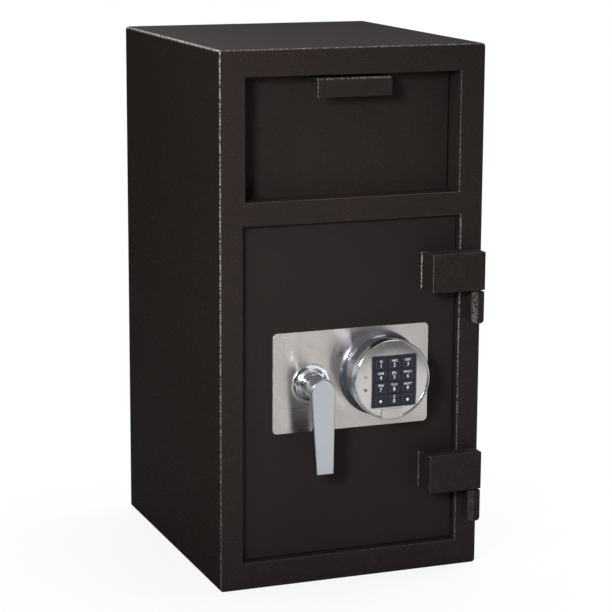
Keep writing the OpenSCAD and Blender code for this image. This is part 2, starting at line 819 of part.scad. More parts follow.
module handle_rose() color(satin) turned(handle_x, handle_z, [
    [spindle_r + shaft_play, plate_out],
    [rose_r, plate_out],
    [rose_r, plate_out + rose_t - rose_bevel],
    [rose_r - rose_bevel, plate_out + rose_t],
    [collar_r, plate_out + rose_t],
    [collar_r - rose_bevel, collar_out],
    [spindle_r + shaft_play, collar_out]
]);

// The fixed bar on the hinge side, which reaches behind the jamb when the door is closed.
module dead_bar() color(dark_steel) {
    z0 = door_low + dead_end;
    z1 = door_high - dead_end;
    box(dead_left, dead_right, door_back_y, dead_back_y, z0, z1);
    box(dead_right - past, door_open_x + dead_reach, dead_back_y - dead_t, dead_back_y, z0, z1);
}

module bolt_guide() color(dark_steel) difference() {
    union() {
        box(guide_x, guide_x + guide_t, door_back_y, guide_back_y, bar_low, bar_high);
        box(guide_x, guide_x + guide_t + guide_foot_w, door_back_y, door_back_y + guide_foot_t,
            bar_low, bar_high);
    }
    for (z = bolt_levels)
        bar_along_x(guide_x - past, guide_x + guide_t + past, bolt_y, z, bolt_r + shaft_play);
}

// A bridge on the door that the drive plate's foot slides through.
module plate_rest() color(dark_steel) difference() {
    box(rest_x, rest_x + rest_w, door_back_y, drive_back_y + rest_wall,
        foot_low - rest_wall, foot_top + rest_wall);
    box(rest_x - past, rest_x + rest_w + past, drive_y - seat, drive_back_y + seat,
        foot_low - seat, foot_top + seat);
}

module lock_case() color(bright_steel) difference() {
    box(lock_x, lock_right, door_back_y, lock_back_y, lock_low, lock_low + lock_h);
    box(lock_x + lock_wall, lock_right - lock_wall, door_back_y + lock_wall, lock_back_y + past,
        lock_low + lock_wall, lock_low + lock_h - lock_wall);
    box(lock_bolt_x - lock_play, lock_bolt_right + lock_play,
        lock_bolt_y - lock_play, lock_bolt_y + lock_bolt_d + lock_play,
        lock_low - past, lock_low + lock_wall + past);
    disc_back(keypad_x, keypad_z + lead_rise, lead_r + shaft_play, door_back_y - past,
        lock_wall + 2 * past);
}

module lock_cover() color(bright_steel)
    box(lock_x, lock_right, lock_back_y, lock_back_y + lock_cover_t, lock_low, lock_low + lock_h);

// A hat-shaped sheet over the moving parts, open at both sides.
module boltwork_cover() color(charcoal) {
    for (z = [cover_low, cover_high - cover_t])
        box(cover_x, cover_end_x, door_back_y, cover_back_y, z, z + cover_t);
    box(cover_x, cover_end_x, cover_back_y - cover_t, cover_back_y, cover_low, cover_high);
    box(cover_x, cover_end_x, door_back_y, door_back_y + cover_t,
        cover_low - cover_foot, cover_low + cover_t);
    box(cover_x, cover_end_x, door_back_y, door_back_y + cover_t,
        cover_high - cover_t, cover_high + cover_foot);
}

// Screws behind the hinge arms, on the lock's cover and on the feet of the boltwork cover.
module door_screws() color(bright_steel) {
    for (z = arm_levels, f = [0.25, 0.75])
        screw_head((arm_left + dead_left) / 2, z + f * arm_h, door_back_y);
    for (x = [lock_x, lock_right], z = [lock_low, lock_low + lock_h])
        screw_head(x + sign(keypad_x - x) * (screw_head_r + screw_edge),
            z + sign(keypad_z - z) * (screw_head_r + screw_edge), lock_back_y + lock_cover_t);
    for (x = [cover_x + cover_foot, cover_end_x - cover_foot],
         z = [cover_low - cover_foot / 2, cover_high + cover_foot / 2])
        screw_head(x, z, door_back_y + cover_t);
}

module keypad_base() color(chrome) turned(keypad_x, keypad_z, [
    [lead_rise + 2 * lead_r, plate_out],
    [housing_r + base_past, plate_out],
    [housing_r + base_past, housing_out - base_slope],
    [housing_r - waist_in, housing_out],
    [lead_rise + 2 * lead_r, housing_out]
]);

// Slot at the foot of the keypad for the battery tray, wider than the tray by its gap.
module drawer_slot() {
    half = drawer_w / 2 + drawer_gap;
    box_out(keypad_x - half, keypad_x + half, drawer_out - drawer_gap, keypad_out + past,
        keypad_z - housing_r - past, keypad_z - tray_front_drop + drawer_gap);
}

// The housing's outside, with a bore through it.
module barrel(bore) turned(keypad_x, keypad_z, [
    [bore, housing_out],
    [housing_r - waist_in, housing_out],
    [housing_r - waist_in, housing_out + waist_h],
    [housing_r, housing_out + waist_h + waist_slope],
    [housing_r, keypad_out - rim_bevel],
    [housing_r - rim_bevel, keypad_out],
    [bore, keypad_out]
]);

module keypad_housing() color(chrome) difference() {
    barrel(inner_r);
    disc_out(keypad_x, keypad_z, housing_r - rim_t, face_back_out, keypad_out + past);
    drawer_slot();
}

module keypad_face() color(satin) difference() {
    disc_out(keypad_x, keypad_z, housing_r - rim_t - face_gap, face_back_out, keypad_out);
    plate_out_shape(face_back_out - past, keypad_out + past) key_frame_outline(0);
    drawer_slot();
    for (z = [-1, 1] * light_spacing / 2)
        disc_out(keypad_x - light_left, keypad_z - light_drop + z, light_r + shaft_play,
            face_back_out - past, keypad_out + past);
}

// The outline of the key field, drawn in by an inset.
module key_frame_outline(inset) {
    half_w = key_frame_w / 2 - inset;
    half_h = key_frame_h / 2 - inset;
    rounded_rectangle(key_frame_x - half_w, key_frame_x + half_w,
        key_frame_z - half_h, key_frame_z + half_h, key_frame_r);
}

// Place of a key's centre, from its column and its row, counted from the upper left.
function key_x(column) = key_frame_x + (column - 1) * key_pitch_x;
function key_z(row) = key_frame_z + (1.5 - row) * key_pitch_z;

module key_frame() color(navy) difference() {
    plate_out_shape(mat_out, keypad_out) key_frame_outline(face_gap);
    for (column = [0 : 2], row = [0 : 3])
        box_out(key_x(column) - key_w / 2 - key_gap, key_x(column) + key_w / 2 + key_gap,
            mat_out - past, keypad_out + past,
            key_z(row) - key_h / 2 - key_gap, key_z(row) + key_h / 2 + key_gap);
}

module key_mat() color(navy) plate_out_shape(board_out, mat_out) key_frame_outline(mat_inset);

module circuit_board() color([0.1, 0.32, 0.18])
    plate_out_shape(board_back_out, board_out) intersection() {
        translate([keypad_x, keypad_z]) circle(r = inner_r - seat, $fn = 96);
        rectangle(keypad_x - housing_r, keypad_x + housing_r,
            keypad_z - tray_front_drop + past, keypad_z + housing_r);
    }

module status_lights() color([0.75, 0.74, 0.6]) for (z = [-1, 1] * light_spacing / 2)
    disc_out(keypad_x - light_left, keypad_z - light_drop + z, light_r, board_out, keypad_out);

module lock_lead() color([0.12, 0.12, 0.12])
    disc_out(keypad_x, keypad_z + lead_rise, lead_r, front_y - door_back_y - 2 * lock_wall,
        board_back_out);

module handle_lever() color(satin) difference() {
    union() {
        disc_out(handle_x, handle_z, hub_r, collar_out + hub_gap, handle_out);
        plate_out_shape(lever_back_out, handle_out) translate([handle_x, handle_z]) polygon([
            [-hub_r, 0], [hub_r, 0], [lever_end_right, -lever_l], [-lever_end_left, -lever_l]
        ]);
    }
    disc_out(handle_x, handle_z, spindle_r + shaft_play, collar_out - past, lever_back_out);
}

module handle_spindle() color(bright_steel)
    disc_out(handle_x, handle_z, spindle_r, front_y - cam_back_y, lever_back_out);

// The crank pin hangs from the cam, half the bolts' travel to the right and as far down.
module handle_cam() color(dark_steel) {
    difference() {
        disc_back(handle_x, handle_z, cam_r, cam_y, cam_t);
        disc_back(handle_x, handle_z, spindle_r + shaft_play, cam_y - past, cam_t + 2 * past);
    }
    disc_back(slot_x, handle_z - bolt_travel / 2, crank_r, cam_back_y - past,
        crank_end_y - cam_back_y + past);
}

module bolt_bar() color(dark_steel)
    box(bar_x, bar_x + bar_t, drive_y, drive_y + bar_d, bar_low, bar_high);

// The plate that the crank pin moves. Its foot runs under the lock and carries the ramp.
module drive_plate() color(dark_steel) difference() {
    plate_out_shape(front_y - drive_back_y, front_y - drive_y) difference() {
        union() {
            rectangle(bar_x + bar_t, lock_x - past, foot_low, handle_z + drive_top);
            rectangle(bar_x + bar_t, foot_end, foot_low, foot_top);
        }
        polygon([
            [ramp_x, foot_top],
            [ramp_x, foot_top + past],
            [ramp_end, foot_top + past],
            [ramp_end, foot_top - (ramp_end - ramp_x) * ramp_rise]
        ]);
    }
    box(slot_x - crank_r - slot_play, slot_x + crank_r + slot_play,
        drive_y - past, drive_back_y + past,
        handle_z - crank_throw - crank_r - slot_play,
        handle_z - bolt_travel / 2 + crank_r + slot_play);
}

module live_bolts() color(bright_steel) for (z = bolt_levels)
    translate([bolt_tip, bolt_y, z]) rotate([0, 90, 0]) union() {
        cylinder(r1 = bolt_r - bolt_chamfer, r2 = bolt_r, h = bolt_chamfer);
        translate([0, 0, bolt_chamfer]) cylinder(r = bolt_r, h = bolt_l - bolt_chamfer);
    }

module bolt_screws() color(bright_steel) for (z = bolt_levels)
    bar_along_x(bar_x + bar_t, bar_x + bar_t + screw_head_h, bolt_y, z, bolt_screw_r);

// The lock's bolt, drawn in. Its slanted end lies along the ramp once the bolts are thrown.
module lock_bolt() color(brass) translate([0, lock_bolt_y, 0])
    translate([0, lock_bolt_d, 0]) rotate([90, 0, 0]) linear_extrude(lock_bolt_d) polygon([
        [lock_bolt_x, ramp_z(lock_bolt_x)],
        [lock_bolt_right, ramp_z(lock_bolt_right)],
        [lock_bolt_right, lock_low + lock_bolt_in],
        [lock_bolt_x, lock_low + lock_bolt_in]
    ]);

// Height of the lock bolt's end at x: the ramp as it lies with the bolts thrown, plus the travel.
function ramp_z(x) =
    foot_top - (x - ramp_x + bolt_travel) * ramp_rise + ramp_gap + lock_travel;

// Front, curved bottom and cup of the tray that draws down out of the keypad.
module battery_tray() color(satin) difference() {
    union() {
        intersection() {
            barrel(0);
            union() {
                difference() {
                    box_out(keypad_x - drawer_w / 2, keypad_x + drawer_w / 2, drawer_out, keypad_out,
                        keypad_z - housing_r, keypad_z - tray_front_drop);
                    disc_out(keypad_x, keypad_z, inner_r, drawer_out - past, keypad_out + past);
                }
                box_out(keypad_x - drawer_w / 2, keypad_x + drawer_w / 2, face_back_out, keypad_out,
                    keypad_z - housing_r, keypad_z - tray_front_drop);
            }
        }
        box_out(keypad_x - drawer_w / 2, keypad_x + drawer_w / 2, drawer_out, drawer_front_out,
            keypad_z - inner_r, battery_low + tray_cup_h);
    }
    box_out(keypad_x - battery_w / 2 - battery_gap, keypad_x + battery_w / 2 + battery_gap,
        battery_out - battery_gap, battery_out + battery_d + battery_gap,
        battery_low, keypad_z + battery_h);
}

module battery() color([0.2, 0.2, 0.22])
    box_out(keypad_x - battery_w / 2, keypad_x + battery_w / 2, battery_out,
        battery_out + battery_d, battery_low, battery_low + battery_h);

module key_cap(column, row) color(navy)
    box_out(key_x(column) - key_w / 2, key_x(column) + key_w / 2, key_back_out, key_out,
        key_z(row) - key_h / 2, key_z(row) + key_h / 2);

body_wrap();
back_panel();
front_frame();
door_jamb();
door_stops();
bolt_keeper();
hinge_knuckles();
hinge_pins();
hinge_washers();
hopper_sleeve();
hopper_baffle();
hopper_rod();
rod_clips();
hopper_bumper();
hopper_panel();
hopper_pull();
hopper_cheek_left();
hopper_cheek_right();
hopper_tray();
door_plate();
hinge_arms();
trim_plate();
handle_rose();
dead_bar();
bolt_guide();
plate_rest();
lock_case();
lock_cover();
boltwork_cover();
door_screws();
keypad_base();
keypad_housing();
keypad_face();
key_frame();
key_mat();
circuit_board();
status_lights();
lock_lead();
handle_lever();
handle_spindle();
handle_cam();
bolt_bar();
drive_plate();
live_bolts();
bolt_screws();
lock_bolt();
battery_tray();
battery();
key_cap(0, 0);  // key_1
key_cap(1, 0);  // key_2
key_cap(2, 0);  // key_3
key_cap(0, 1);  // key_4
key_cap(1, 1);  // key_5
key_cap(2, 1);  // key_6
key_cap(0, 2);  // key_7
key_cap(1, 2);  // key_8
key_cap(2, 2);  // key_9
key_cap(0, 3);  // key_star
key_cap(1, 3);  // key_0
key_cap(2, 3);  // key_hash
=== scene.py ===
# %% [markdown]
# # Dressing a deposit safe
# The cabinet, its door, hopper, lock and hinges already exist as solids at their real size.
# This script loads them as a fixed frame, and gives them softened edges, fine parts and finishes.
# The frame is loaded first, because every piece takes its place from the solid that it covers.

# %% Load the frame
import json
import math

import bmesh
import bpy
from mathutils import Matrix, Vector


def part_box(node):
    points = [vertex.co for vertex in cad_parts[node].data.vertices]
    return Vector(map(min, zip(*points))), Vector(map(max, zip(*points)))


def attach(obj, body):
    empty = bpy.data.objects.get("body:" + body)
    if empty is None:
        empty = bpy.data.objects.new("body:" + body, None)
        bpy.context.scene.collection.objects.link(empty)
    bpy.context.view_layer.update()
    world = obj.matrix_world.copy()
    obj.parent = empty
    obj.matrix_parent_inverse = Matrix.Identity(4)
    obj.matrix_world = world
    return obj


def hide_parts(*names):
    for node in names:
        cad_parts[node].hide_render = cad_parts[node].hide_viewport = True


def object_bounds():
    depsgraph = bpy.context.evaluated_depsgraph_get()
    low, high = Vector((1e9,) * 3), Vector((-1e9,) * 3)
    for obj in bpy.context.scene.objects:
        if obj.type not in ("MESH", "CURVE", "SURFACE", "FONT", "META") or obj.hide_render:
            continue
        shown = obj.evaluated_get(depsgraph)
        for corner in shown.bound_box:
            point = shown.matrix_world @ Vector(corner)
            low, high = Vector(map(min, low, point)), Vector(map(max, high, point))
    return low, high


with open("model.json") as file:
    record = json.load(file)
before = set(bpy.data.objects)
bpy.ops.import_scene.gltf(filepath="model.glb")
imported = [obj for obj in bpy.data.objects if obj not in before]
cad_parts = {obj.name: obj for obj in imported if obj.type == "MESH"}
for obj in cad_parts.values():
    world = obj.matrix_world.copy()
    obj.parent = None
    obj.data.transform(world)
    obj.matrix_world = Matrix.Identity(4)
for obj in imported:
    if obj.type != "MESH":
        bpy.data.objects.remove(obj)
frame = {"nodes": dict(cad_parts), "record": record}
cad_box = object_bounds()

MM = 0.001
X, Y, Z = Vector((1, 0, 0)), Vector((0, 1, 0)), Vector((0, 0, 1))
scene = bpy.context.scene
size = (cad_box[1] - cad_box[0]) / MM
print("frame: %d nodes, %.0f x %.0f x %.0f mm" % (len(frame["nodes"]), *size))

# %% [markdown]
# ## Where things lie
# Each solid lies where the real piece lies, so a part's place can be read from its solid's box.
# Places could also be typed in as numbers, but those would be wrong as soon as a solid changed.
# `low` and `high` are the two corners of a node's box, and `FRONT` is the plane of the frame's
# face, from which distances towards the viewer are counted. Lengths that are named for a piece
# are in millimetres, and MM turns them into the metres of the scene.

# %% Boxes of the solids
def low(node):
    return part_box(node)[0]


def high(node):
    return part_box(node)[1]


def middle(node):
    return (low(node) + high(node)) / 2


FRONT = low("front_frame").y
print("front of the frame at y = %.3f m" % FRONT)

# %% [markdown]
# ## Camera
# The photograph was taken with a long lens from the left of the safe, a little above it, with
# the lens shifted down a little. The direction, the distance and the lens come from fitting the
# corners of a 356 x 396 x 686 mm box, of its two windows and of its trim plate to the picture.
# A Track To constraint could aim a camera too, but a matrix also holds the slight roll.

# %% Camera
CAMERA_PLACE = Vector((-1.0120, -2.6350, 0.9110))
CAMERA_AZIMUTH, CAMERA_ELEVATION, CAMERA_ROLL = map(math.radians, (-21.25, 11.34, 0.31))
SENSOR_MM = 36.0
LENS_MM = 125.48
LENS_SHIFT = -0.0294
CAMERA_REACH = 50.0


def camera_turn(azimuth, elevation, roll):
    """The turn of a camera that looks along azimuth and elevation, as a matrix."""
    back = Vector((math.sin(azimuth) * math.cos(elevation),
                   -math.cos(azimuth) * math.cos(elevation), math.sin(elevation)))
    right = (-back).cross(Z).normalized()
    up = back.cross(right)
    rolled = right * math.cos(roll) + up * math.sin(roll)
    return Matrix((rolled, back.cross(rolled), back)).transposed()


def make_camera():
    data = bpy.data.cameras.new("Camera")
    data.sensor_width = SENSOR_MM
    data.lens = LENS_MM
    data.shift_y = LENS_SHIFT
    data.clip_end = CAMERA_REACH
    camera = bpy.data.objects.new("Camera", data)
    turn = camera_turn(CAMERA_AZIMUTH, CAMERA_ELEVATION, CAMERA_ROLL)
    camera.matrix_world = Matrix.Translation(CAMERA_PLACE) @ turn.to_4x4()
    scene.collection.objects.link(camera)
    scene.camera = camera
    return camera


camera = make_camera()
print("camera %.2f m from the safe" % (camera.location - middle("door_plate")).length)

# %% [markdown]
# ## Node trees in few words
# A material is a small graph of nodes. Every node could be made, set and linked line by line, but
# a finish would then run over pages. `Graph` does all three in one call, so that each recipe below
# reads like a list of ingredients. `group` starts a node group, which several materials can share.

# %% A helper for node trees
class Graph:
    def __init__(self, tree):
        self.nodes, self.links = tree.nodes, tree.links

    def add(self, kind, settings=None, **inputs):
        """A new node. Settings are its properties, and inputs are values or other sockets.

        An input is called by its label, or by its number where labels repeat, such as _0.
        """
        node = self.nodes.new(kind)
        for name, value in (settings or {}).items():
            setattr(node, name, value)
        for name, value in inputs.items():
            key = int(name[1:]) if name[1:].isdigit() else name.replace("_", " ")
            socket = node.inputs[key]
            if isinstance(value, bpy.types.NodeSocket):
                self.links.new(value, socket)
            else:
                socket.default_value = value
        return node

    def math(self, operation, a, b=0.0, clamp=False):
        node = self.add("ShaderNodeMath", {"operation": operation, "use_clamp": clamp}, _0=a, _1=b)
        return node.outputs[0]

    def ramp(self, factor, start, end):
        """A value that goes from 0 at start to 1 at end."""
        node = self.add("ShaderNodeMapRange", {"interpolation_type": "SMOOTHSTEP"},
                        Value=factor, From_Min=start, From_Max=end)
        return node.outputs["Result"]

    def mix(self, factor, a, b, blend="MIX"):
        """Colour a where the factor is 0 and colour b where it is 1."""
        node = self.add("ShaderNodeMix", {"data_type": "RGBA", "blend_type": blend},
                        _0=factor, _6=a, _7=b)
        return node.outputs[2]

    def noise(self, vector, scale, detail=2.0, roughness=0.5):
        return self.add("ShaderNodeTexNoise", Vector=vector, Scale=scale, Detail=detail,
                        Roughness=roughness).outputs["Fac"]


def group(name, inputs, outputs):
    """An empty node group with named inputs and outputs. A 4-number input is a colour."""
    tree = bpy.data.node_groups.new(name, "ShaderNodeTree")
    kinds = {4: "NodeSocketColor", 3: "NodeSocketVector", 1: "NodeSocketFloat"}
    for label, value in inputs.items():
        length = len(value) if isinstance(value, tuple) else 1
        socket = tree.interface.new_socket(name=label, in_out="INPUT", socket_type=kinds[length])
        socket.default_value = value
    for label, length in outputs.items():
        tree.interface.new_socket(name=label, in_out="OUTPUT", socket_type=kinds[length])
    graph = Graph(tree)
    return graph, graph.add("NodeGroupInput").outputs, graph.add("NodeGroupOutput").inputs


print("helpers: Graph, group")

# %% [markdown]
# ## Grain of powder coat
# Powder coat is sprayed on as dust and baked, so it sets into a fine orange peel with hollows
# and a faint mottle. The hollows are painted darker, as painted shade, and a few spots on the
# peel's crests are painted lighter, as painted highlights of glints. A single noise could stand
# for all of it, but the real coat varies at three scales, so broad clouds, fine peel and cells
# are mixed. Paint and plastic both have it, so it is a node group with its own inputs.

# %% Grain of powder coat
CLOUDS_PER_METRE = 9.0
# The middle one of these depths is the painted shade in the peel's hollows.
CLOUD_DEPTH, HOLLOW_SHADE, MOTTLE_DEPTH = 0.24, 0.4, 2.2
CELL_HEIGHT = 0.7
# The tint of the painted highlights on a few grains.
PAINTED_GLINT_TINT = (2.6, 2.5, 2.4, 1.0)
GRAIN_SMOOTHING = -0.18
PEEL_DEPTH = 0.0006  # metres


def make_grain():
    graph, given, result = group(
        "Powder grain",
        {"Colour": (0.03, 0.03, 0.03, 1.0), "Grain per metre": 700.0, "Height": 0.2,
         "Sparkle": 0.3, "Roughness": 0.5},
        {"Colour": 4, "Roughness": 1, "Glint": 1, "Normal": 3})
    place = graph.add("ShaderNodeTexCoord").outputs["Object"]
    grain = graph.add("ShaderNodeTexVoronoi", {"feature": "SMOOTH_F1"}, Vector=place,
                      Scale=given["Grain per metre"], Smoothness=0.6).outputs["Distance"]
    peel = graph.noise(place, given["Grain per metre"], detail=3.0, roughness=0.6)
    clouds = graph.noise(place, CLOUDS_PER_METRE, detail=3.0)
    height = graph.math("ADD", graph.math("MULTIPLY", grain, CELL_HEIGHT), peel)
    # Spots on the peel's crests take a painted highlight, and its hollows a painted shade.
    spot = graph.ramp(peel, 0.56, 0.72)
    light = graph.math("MULTIPLY", spot, given["Sparkle"])
    hollow_shade = graph.math("MULTIPLY", graph.ramp(grain, 0.6, 0.1), given["Sparkle"])
    shade = graph.math("ADD", graph.math("MULTIPLY", clouds, CLOUD_DEPTH), 1 - CLOUD_DEPTH / 2)
    shade = graph.math("SUBTRACT", shade, graph.math("MULTIPLY", hollow_shade, HOLLOW_SHADE))
    mottle = graph.math("MULTIPLY", graph.math("SUBTRACT", peel, 0.5), given["Sparkle"])
    shade = graph.math("ADD", shade, graph.math("MULTIPLY", mottle, MOTTLE_DEPTH))
    tinted = graph.mix(1.0, given["Colour"], shade, "MULTIPLY")
    painted_glint = graph.mix(1.0, tinted, PAINTED_GLINT_TINT, "MULTIPLY")
    graph.links.new(graph.mix(light, tinted, painted_glint), result["Colour"])
    smoother = graph.math("MULTIPLY", light, GRAIN_SMOOTHING)
    graph.links.new(graph.math("ADD", given["Roughness"], smoother), result["Roughness"])
    graph.links.new(light, result["Glint"])
    bump = graph.add("ShaderNodeBump", Strength=given["Height"], Distance=PEEL_DEPTH,
                     Height=height)
    graph.links.new(bump.outputs["Normal"], result["Normal"])


make_grain()
print("group: Powder grain")

# %% [markdown]
# ## Steel and painted glints on folded edges
# Where sheet is folded, the powder lies thinner and bare steel shows through in spots. The spots
# thin out towards the floor, as a painted fade of the glints, which the lamps light higher up. It
# could be painted by hand on a texture. Here a number on each face says how much steel it shows,
# and this group breaks that number up into spots.

# %% Steel and painted glints on folded edges
PATCHES_PER_METRE, PATCH_RANGE, PATCH_LEAST = 14.0, 0.9, 0.45
GLINT_FADE_FROM, GLINT_FADE_TO = 0.02, 0.42  # heights in metres
LEAST_GLINT_FADE = 0.3


def make_fold_steel_and_glint():
    """Where steel shows. It reads the face attribute `fold`, which the bevels below write."""
    graph, given, result = group(
        "Steel and painted glint on folds", {"Amount": 0.5, "Spots per metre": 420.0}, {"Steel": 1})
    place = graph.add("ShaderNodeTexCoord").outputs["Object"]
    fold = graph.add("ShaderNodeAttribute", {"attribute_name": "fold"}).outputs["Fac"]
    spots = graph.noise(place, given["Spots per metre"], detail=3.0, roughness=0.7)
    patches = graph.math("MULTIPLY", graph.noise(place, PATCHES_PER_METRE), PATCH_RANGE)
    patches = graph.math("ADD", patches, PATCH_LEAST)
    steel = graph.math("MULTIPLY", graph.ramp(spots, 0.42, 0.6), patches)
    steel = graph.math("MULTIPLY", steel, given["Amount"], clamp=True)
    # Fewer spots towards the floor: a painted fade of the glints, which the lamps light higher up.
    height = graph.add("ShaderNodeSeparateXYZ", Vector=place).outputs["Z"]
    glint_fade = graph.math("MULTIPLY", graph.ramp(height, GLINT_FADE_FROM, GLINT_FADE_TO), 1 - LEAST_GLINT_FADE)
    glint_fade = graph.math("ADD", glint_fade, LEAST_GLINT_FADE)
    steel = graph.math("MULTIPLY", steel, glint_fade)
    graph.links.new(graph.math("MULTIPLY", steel, fold), result["Steel"])


make_fold_steel_and_glint()
print("group: Steel and painted glint on folds")

# %% [markdown]
# ## Drawn grain of metal
# Satin metal is brushed in one direction, which leaves fine lines, and hands leave faint smudges
# on it. An image of scratches would show its repeat. Noise that is stretched along one axis has
# none, and with an even stretch the same group also serves cast and polished metal.

# %% Drawn grain of metal
LINE_SHADE, LINE_ROUGHNESS = 0.12, 0.06
LINE_DEPTH = 0.0002  # metres
SMUDGES_PER_METRE, SMUDGE_ROUGHNESS = 26.0, 0.16


def make_drawn():
    graph, given, result = group(
        "Drawn grain",
        {"Colour": (0.6, 0.6, 0.6, 1.0), "Stretch": (1.0, 1.0, 1.0), "Depth": 0.1,
         "Roughness": 0.3},
        {"Colour": 4, "Roughness": 1, "Normal": 3})
    place = graph.add("ShaderNodeTexCoord").outputs["Object"]
    drawn = graph.add("ShaderNodeVectorMath", {"operation": "MULTIPLY"}, _0=place,
                      _1=given["Stretch"]).outputs[0]
    lines = graph.noise(drawn, 1.0, detail=4.0, roughness=0.65)
    smudge = graph.noise(place, SMUDGES_PER_METRE, detail=3.0, roughness=0.6)
    smudge = graph.math("SUBTRACT", smudge, 0.5)
    shade = graph.math("ADD", graph.math("MULTIPLY", lines, LINE_SHADE), 1 - LINE_SHADE / 2)
    graph.links.new(graph.mix(1.0, given["Colour"], shade, "MULTIPLY"), result["Colour"])
    rough = graph.math("MULTIPLY", smudge, SMUDGE_ROUGHNESS)
    rough = graph.math("ADD", given["Roughness"], rough)
    graph.links.new(graph.math("ADD", rough, graph.math("MULTIPLY", lines, LINE_ROUGHNESS)),
                    result["Roughness"])
    bump = graph.add("ShaderNodeBump", Strength=given["Depth"], Distance=LINE_DEPTH,
                     Height=lines)
    graph.links.new(bump.outputs["Normal"], result["Normal"])


make_drawn()
print("group: Drawn grain")

# %% [markdown]
# ## What every recipe needs
# The safe is painted sheet, bare metal and moulded plastic or rubber, so three recipes cover it.
# Each material could be built by itself, but then a better recipe would have to be copied into
# all of them. A recipe makes a Principled shader, with the constants on the shader itself and the
# values that change over the surface from a group.

# %% Helpers for a material
def new_material(name):
    material = bpy.data.materials.new(name)
    material.use_nodes = True
    graph = Graph(material.node_tree)
    shader = material.node_tree.nodes["Principled BSDF"]
    return material, graph, shader


def use_group(graph, name, **values):
    node = graph.add("ShaderNodeGroup", {"node_tree": bpy.data.node_groups[name]})
    for label, value in values.items():
        node.inputs[label.replace("_", " ")].default_value = value
    return node.outputs


def colour(red, green, blue):
    """A colour given as it is seen on a screen, 0 to 255, as the linear colour of a shader."""
    def linear(c):
        c /= 255
        return c / 12.92 if c <= 0.04045 else ((c + 0.055) / 1.055) ** 2.4
    return linear(red), linear(green), linear(blue), 1.0


print("middle grey of a screen as a shader's colour: %.3f" % colour(128, 128, 128)[0])

# %% [markdown]
# ## Recipe for powder coat
# The paint hides the steel nearly everywhere, and shows it in spots on the folds. Two shaders
# could be mixed, one for paint and one for steel, but one shader whose Metallic goes from 0 to 1
# looks the same and exports well. A thin clear coat glints on the grains that carry painted
# highlights in their colour.

# %% Recipe for powder coat
BARE_STEEL = colour(206, 203, 200)
STEEL_SMOOTHING = -0.3
GLINT_COAT, COAT_ROUGHNESS, PAINT_SPECULAR = 0.3, 0.12, 0.12


def powder_coat(name, base, grain=700.0, height=0.2, sparkle=0.3, roughness=0.6, thin=0.5):
    """Paint with grain, and with spots of bare steel on the marked faces of a piece."""
    material, graph, shader = new_material(name)
    coat = use_group(graph, "Powder grain", Colour=base, Grain_per_metre=grain, Height=height,
                     Sparkle=sparkle, Roughness=roughness)
    steel = use_group(graph, "Steel and painted glint on folds", Amount=thin)["Steel"]
    graph.links.new(graph.mix(steel, coat["Colour"], BARE_STEEL), shader.inputs["Base Color"])
    graph.links.new(steel, shader.inputs["Metallic"])
    smoother = graph.math("MULTIPLY", steel, STEEL_SMOOTHING)
    graph.links.new(graph.math("ADD", coat["Roughness"], smoother), shader.inputs["Roughness"])
    glint = graph.math("MULTIPLY", coat["Glint"], GLINT_COAT)
    graph.links.new(glint, shader.inputs["Coat Weight"])
    graph.links.new(coat["Normal"], shader.inputs["Normal"])
    shader.inputs["Coat Roughness"].default_value = COAT_ROUGHNESS
    shader.inputs["Specular IOR Level"].default_value = PAINT_SPECULAR
    return material


print("recipe: powder_coat")

# %% [markdown]
# ## Recipe for bare metal
# Plate, lever, rings, bolts and screws are all metal, and differ in colour, gloss and grain. A
# Glossy shader could show them, but the Principled one is what other programs can read. Its
# Anisotropic value spreads the gloss across the brush lines.

# %% Recipe for bare metal
def bare_metal(name, base, stretch=(900.0, 900.0, 900.0), depth=0.1, roughness=0.3,
               brushed=0.0, turn=0.0):
    """Metal. The stretch gives lines per metre along each axis, and brushed spreads its gloss."""
    material, graph, shader = new_material(name)
    metal = use_group(graph, "Drawn grain", Colour=base, Stretch=stretch, Depth=depth,
                      Roughness=roughness)
    graph.links.new(metal["Colour"], shader.inputs["Base Color"])
    graph.links.new(metal["Roughness"], shader.inputs["Roughness"])
    graph.links.new(metal["Normal"], shader.inputs["Normal"])
    shader.inputs["Metallic"].default_value = 1.0
    shader.inputs["Anisotropic"].default_value = brushed
    shader.inputs["Anisotropic Rotation"].default_value = turn
    return material


print("recipe: bare_metal")

# %% [markdown]
# ## Recipe for plastic and rubber
# Keys, lenses, cable and bumper are moulded, with a skin much finer than the paint's. A plain
# colour could do, but it looks too clean from close by. So the paint's grain serves again, finer
# and weaker, and marked faces can take a lighter colour that is a painted highlight.

# %% Recipe for plastic and rubber
def moulded(name, base, roughness=0.5, grain=1500.0, height=0.08, sparkle=0.05, rim_highlight=None):
    """Plastic or rubber. With a rim highlight, the marked faces take it as a painted highlight."""
    material, graph, shader = new_material(name)
    skin = use_group(graph, "Powder grain", Colour=base, Grain_per_metre=grain, Height=height,
                     Sparkle=sparkle, Roughness=roughness)
    surface = skin["Colour"]
    if rim_highlight:
        mark = graph.add("ShaderNodeAttribute", {"attribute_name": "fold"}).outputs["Fac"]
        surface = graph.mix(mark, surface, rim_highlight)
    graph.links.new(surface, shader.inputs["Base Color"])
    graph.links.new(skin["Roughness"], shader.inputs["Roughness"])
    graph.links.new(skin["Normal"], shader.inputs["Normal"])
    return material


print("recipe: moulded")

# %% [markdown]
# ## The finishes of this safe
# The shell has a coarse textured coat, the front a finer one and the door the smoothest. Plate
# and keypad face are brushed, the lever is pearl chrome, and the rings are polished. Every colour
# is written as it is seen on a screen. The table is keyed by the record's own slots, so that a
# solid's copy finds its finish by itself.

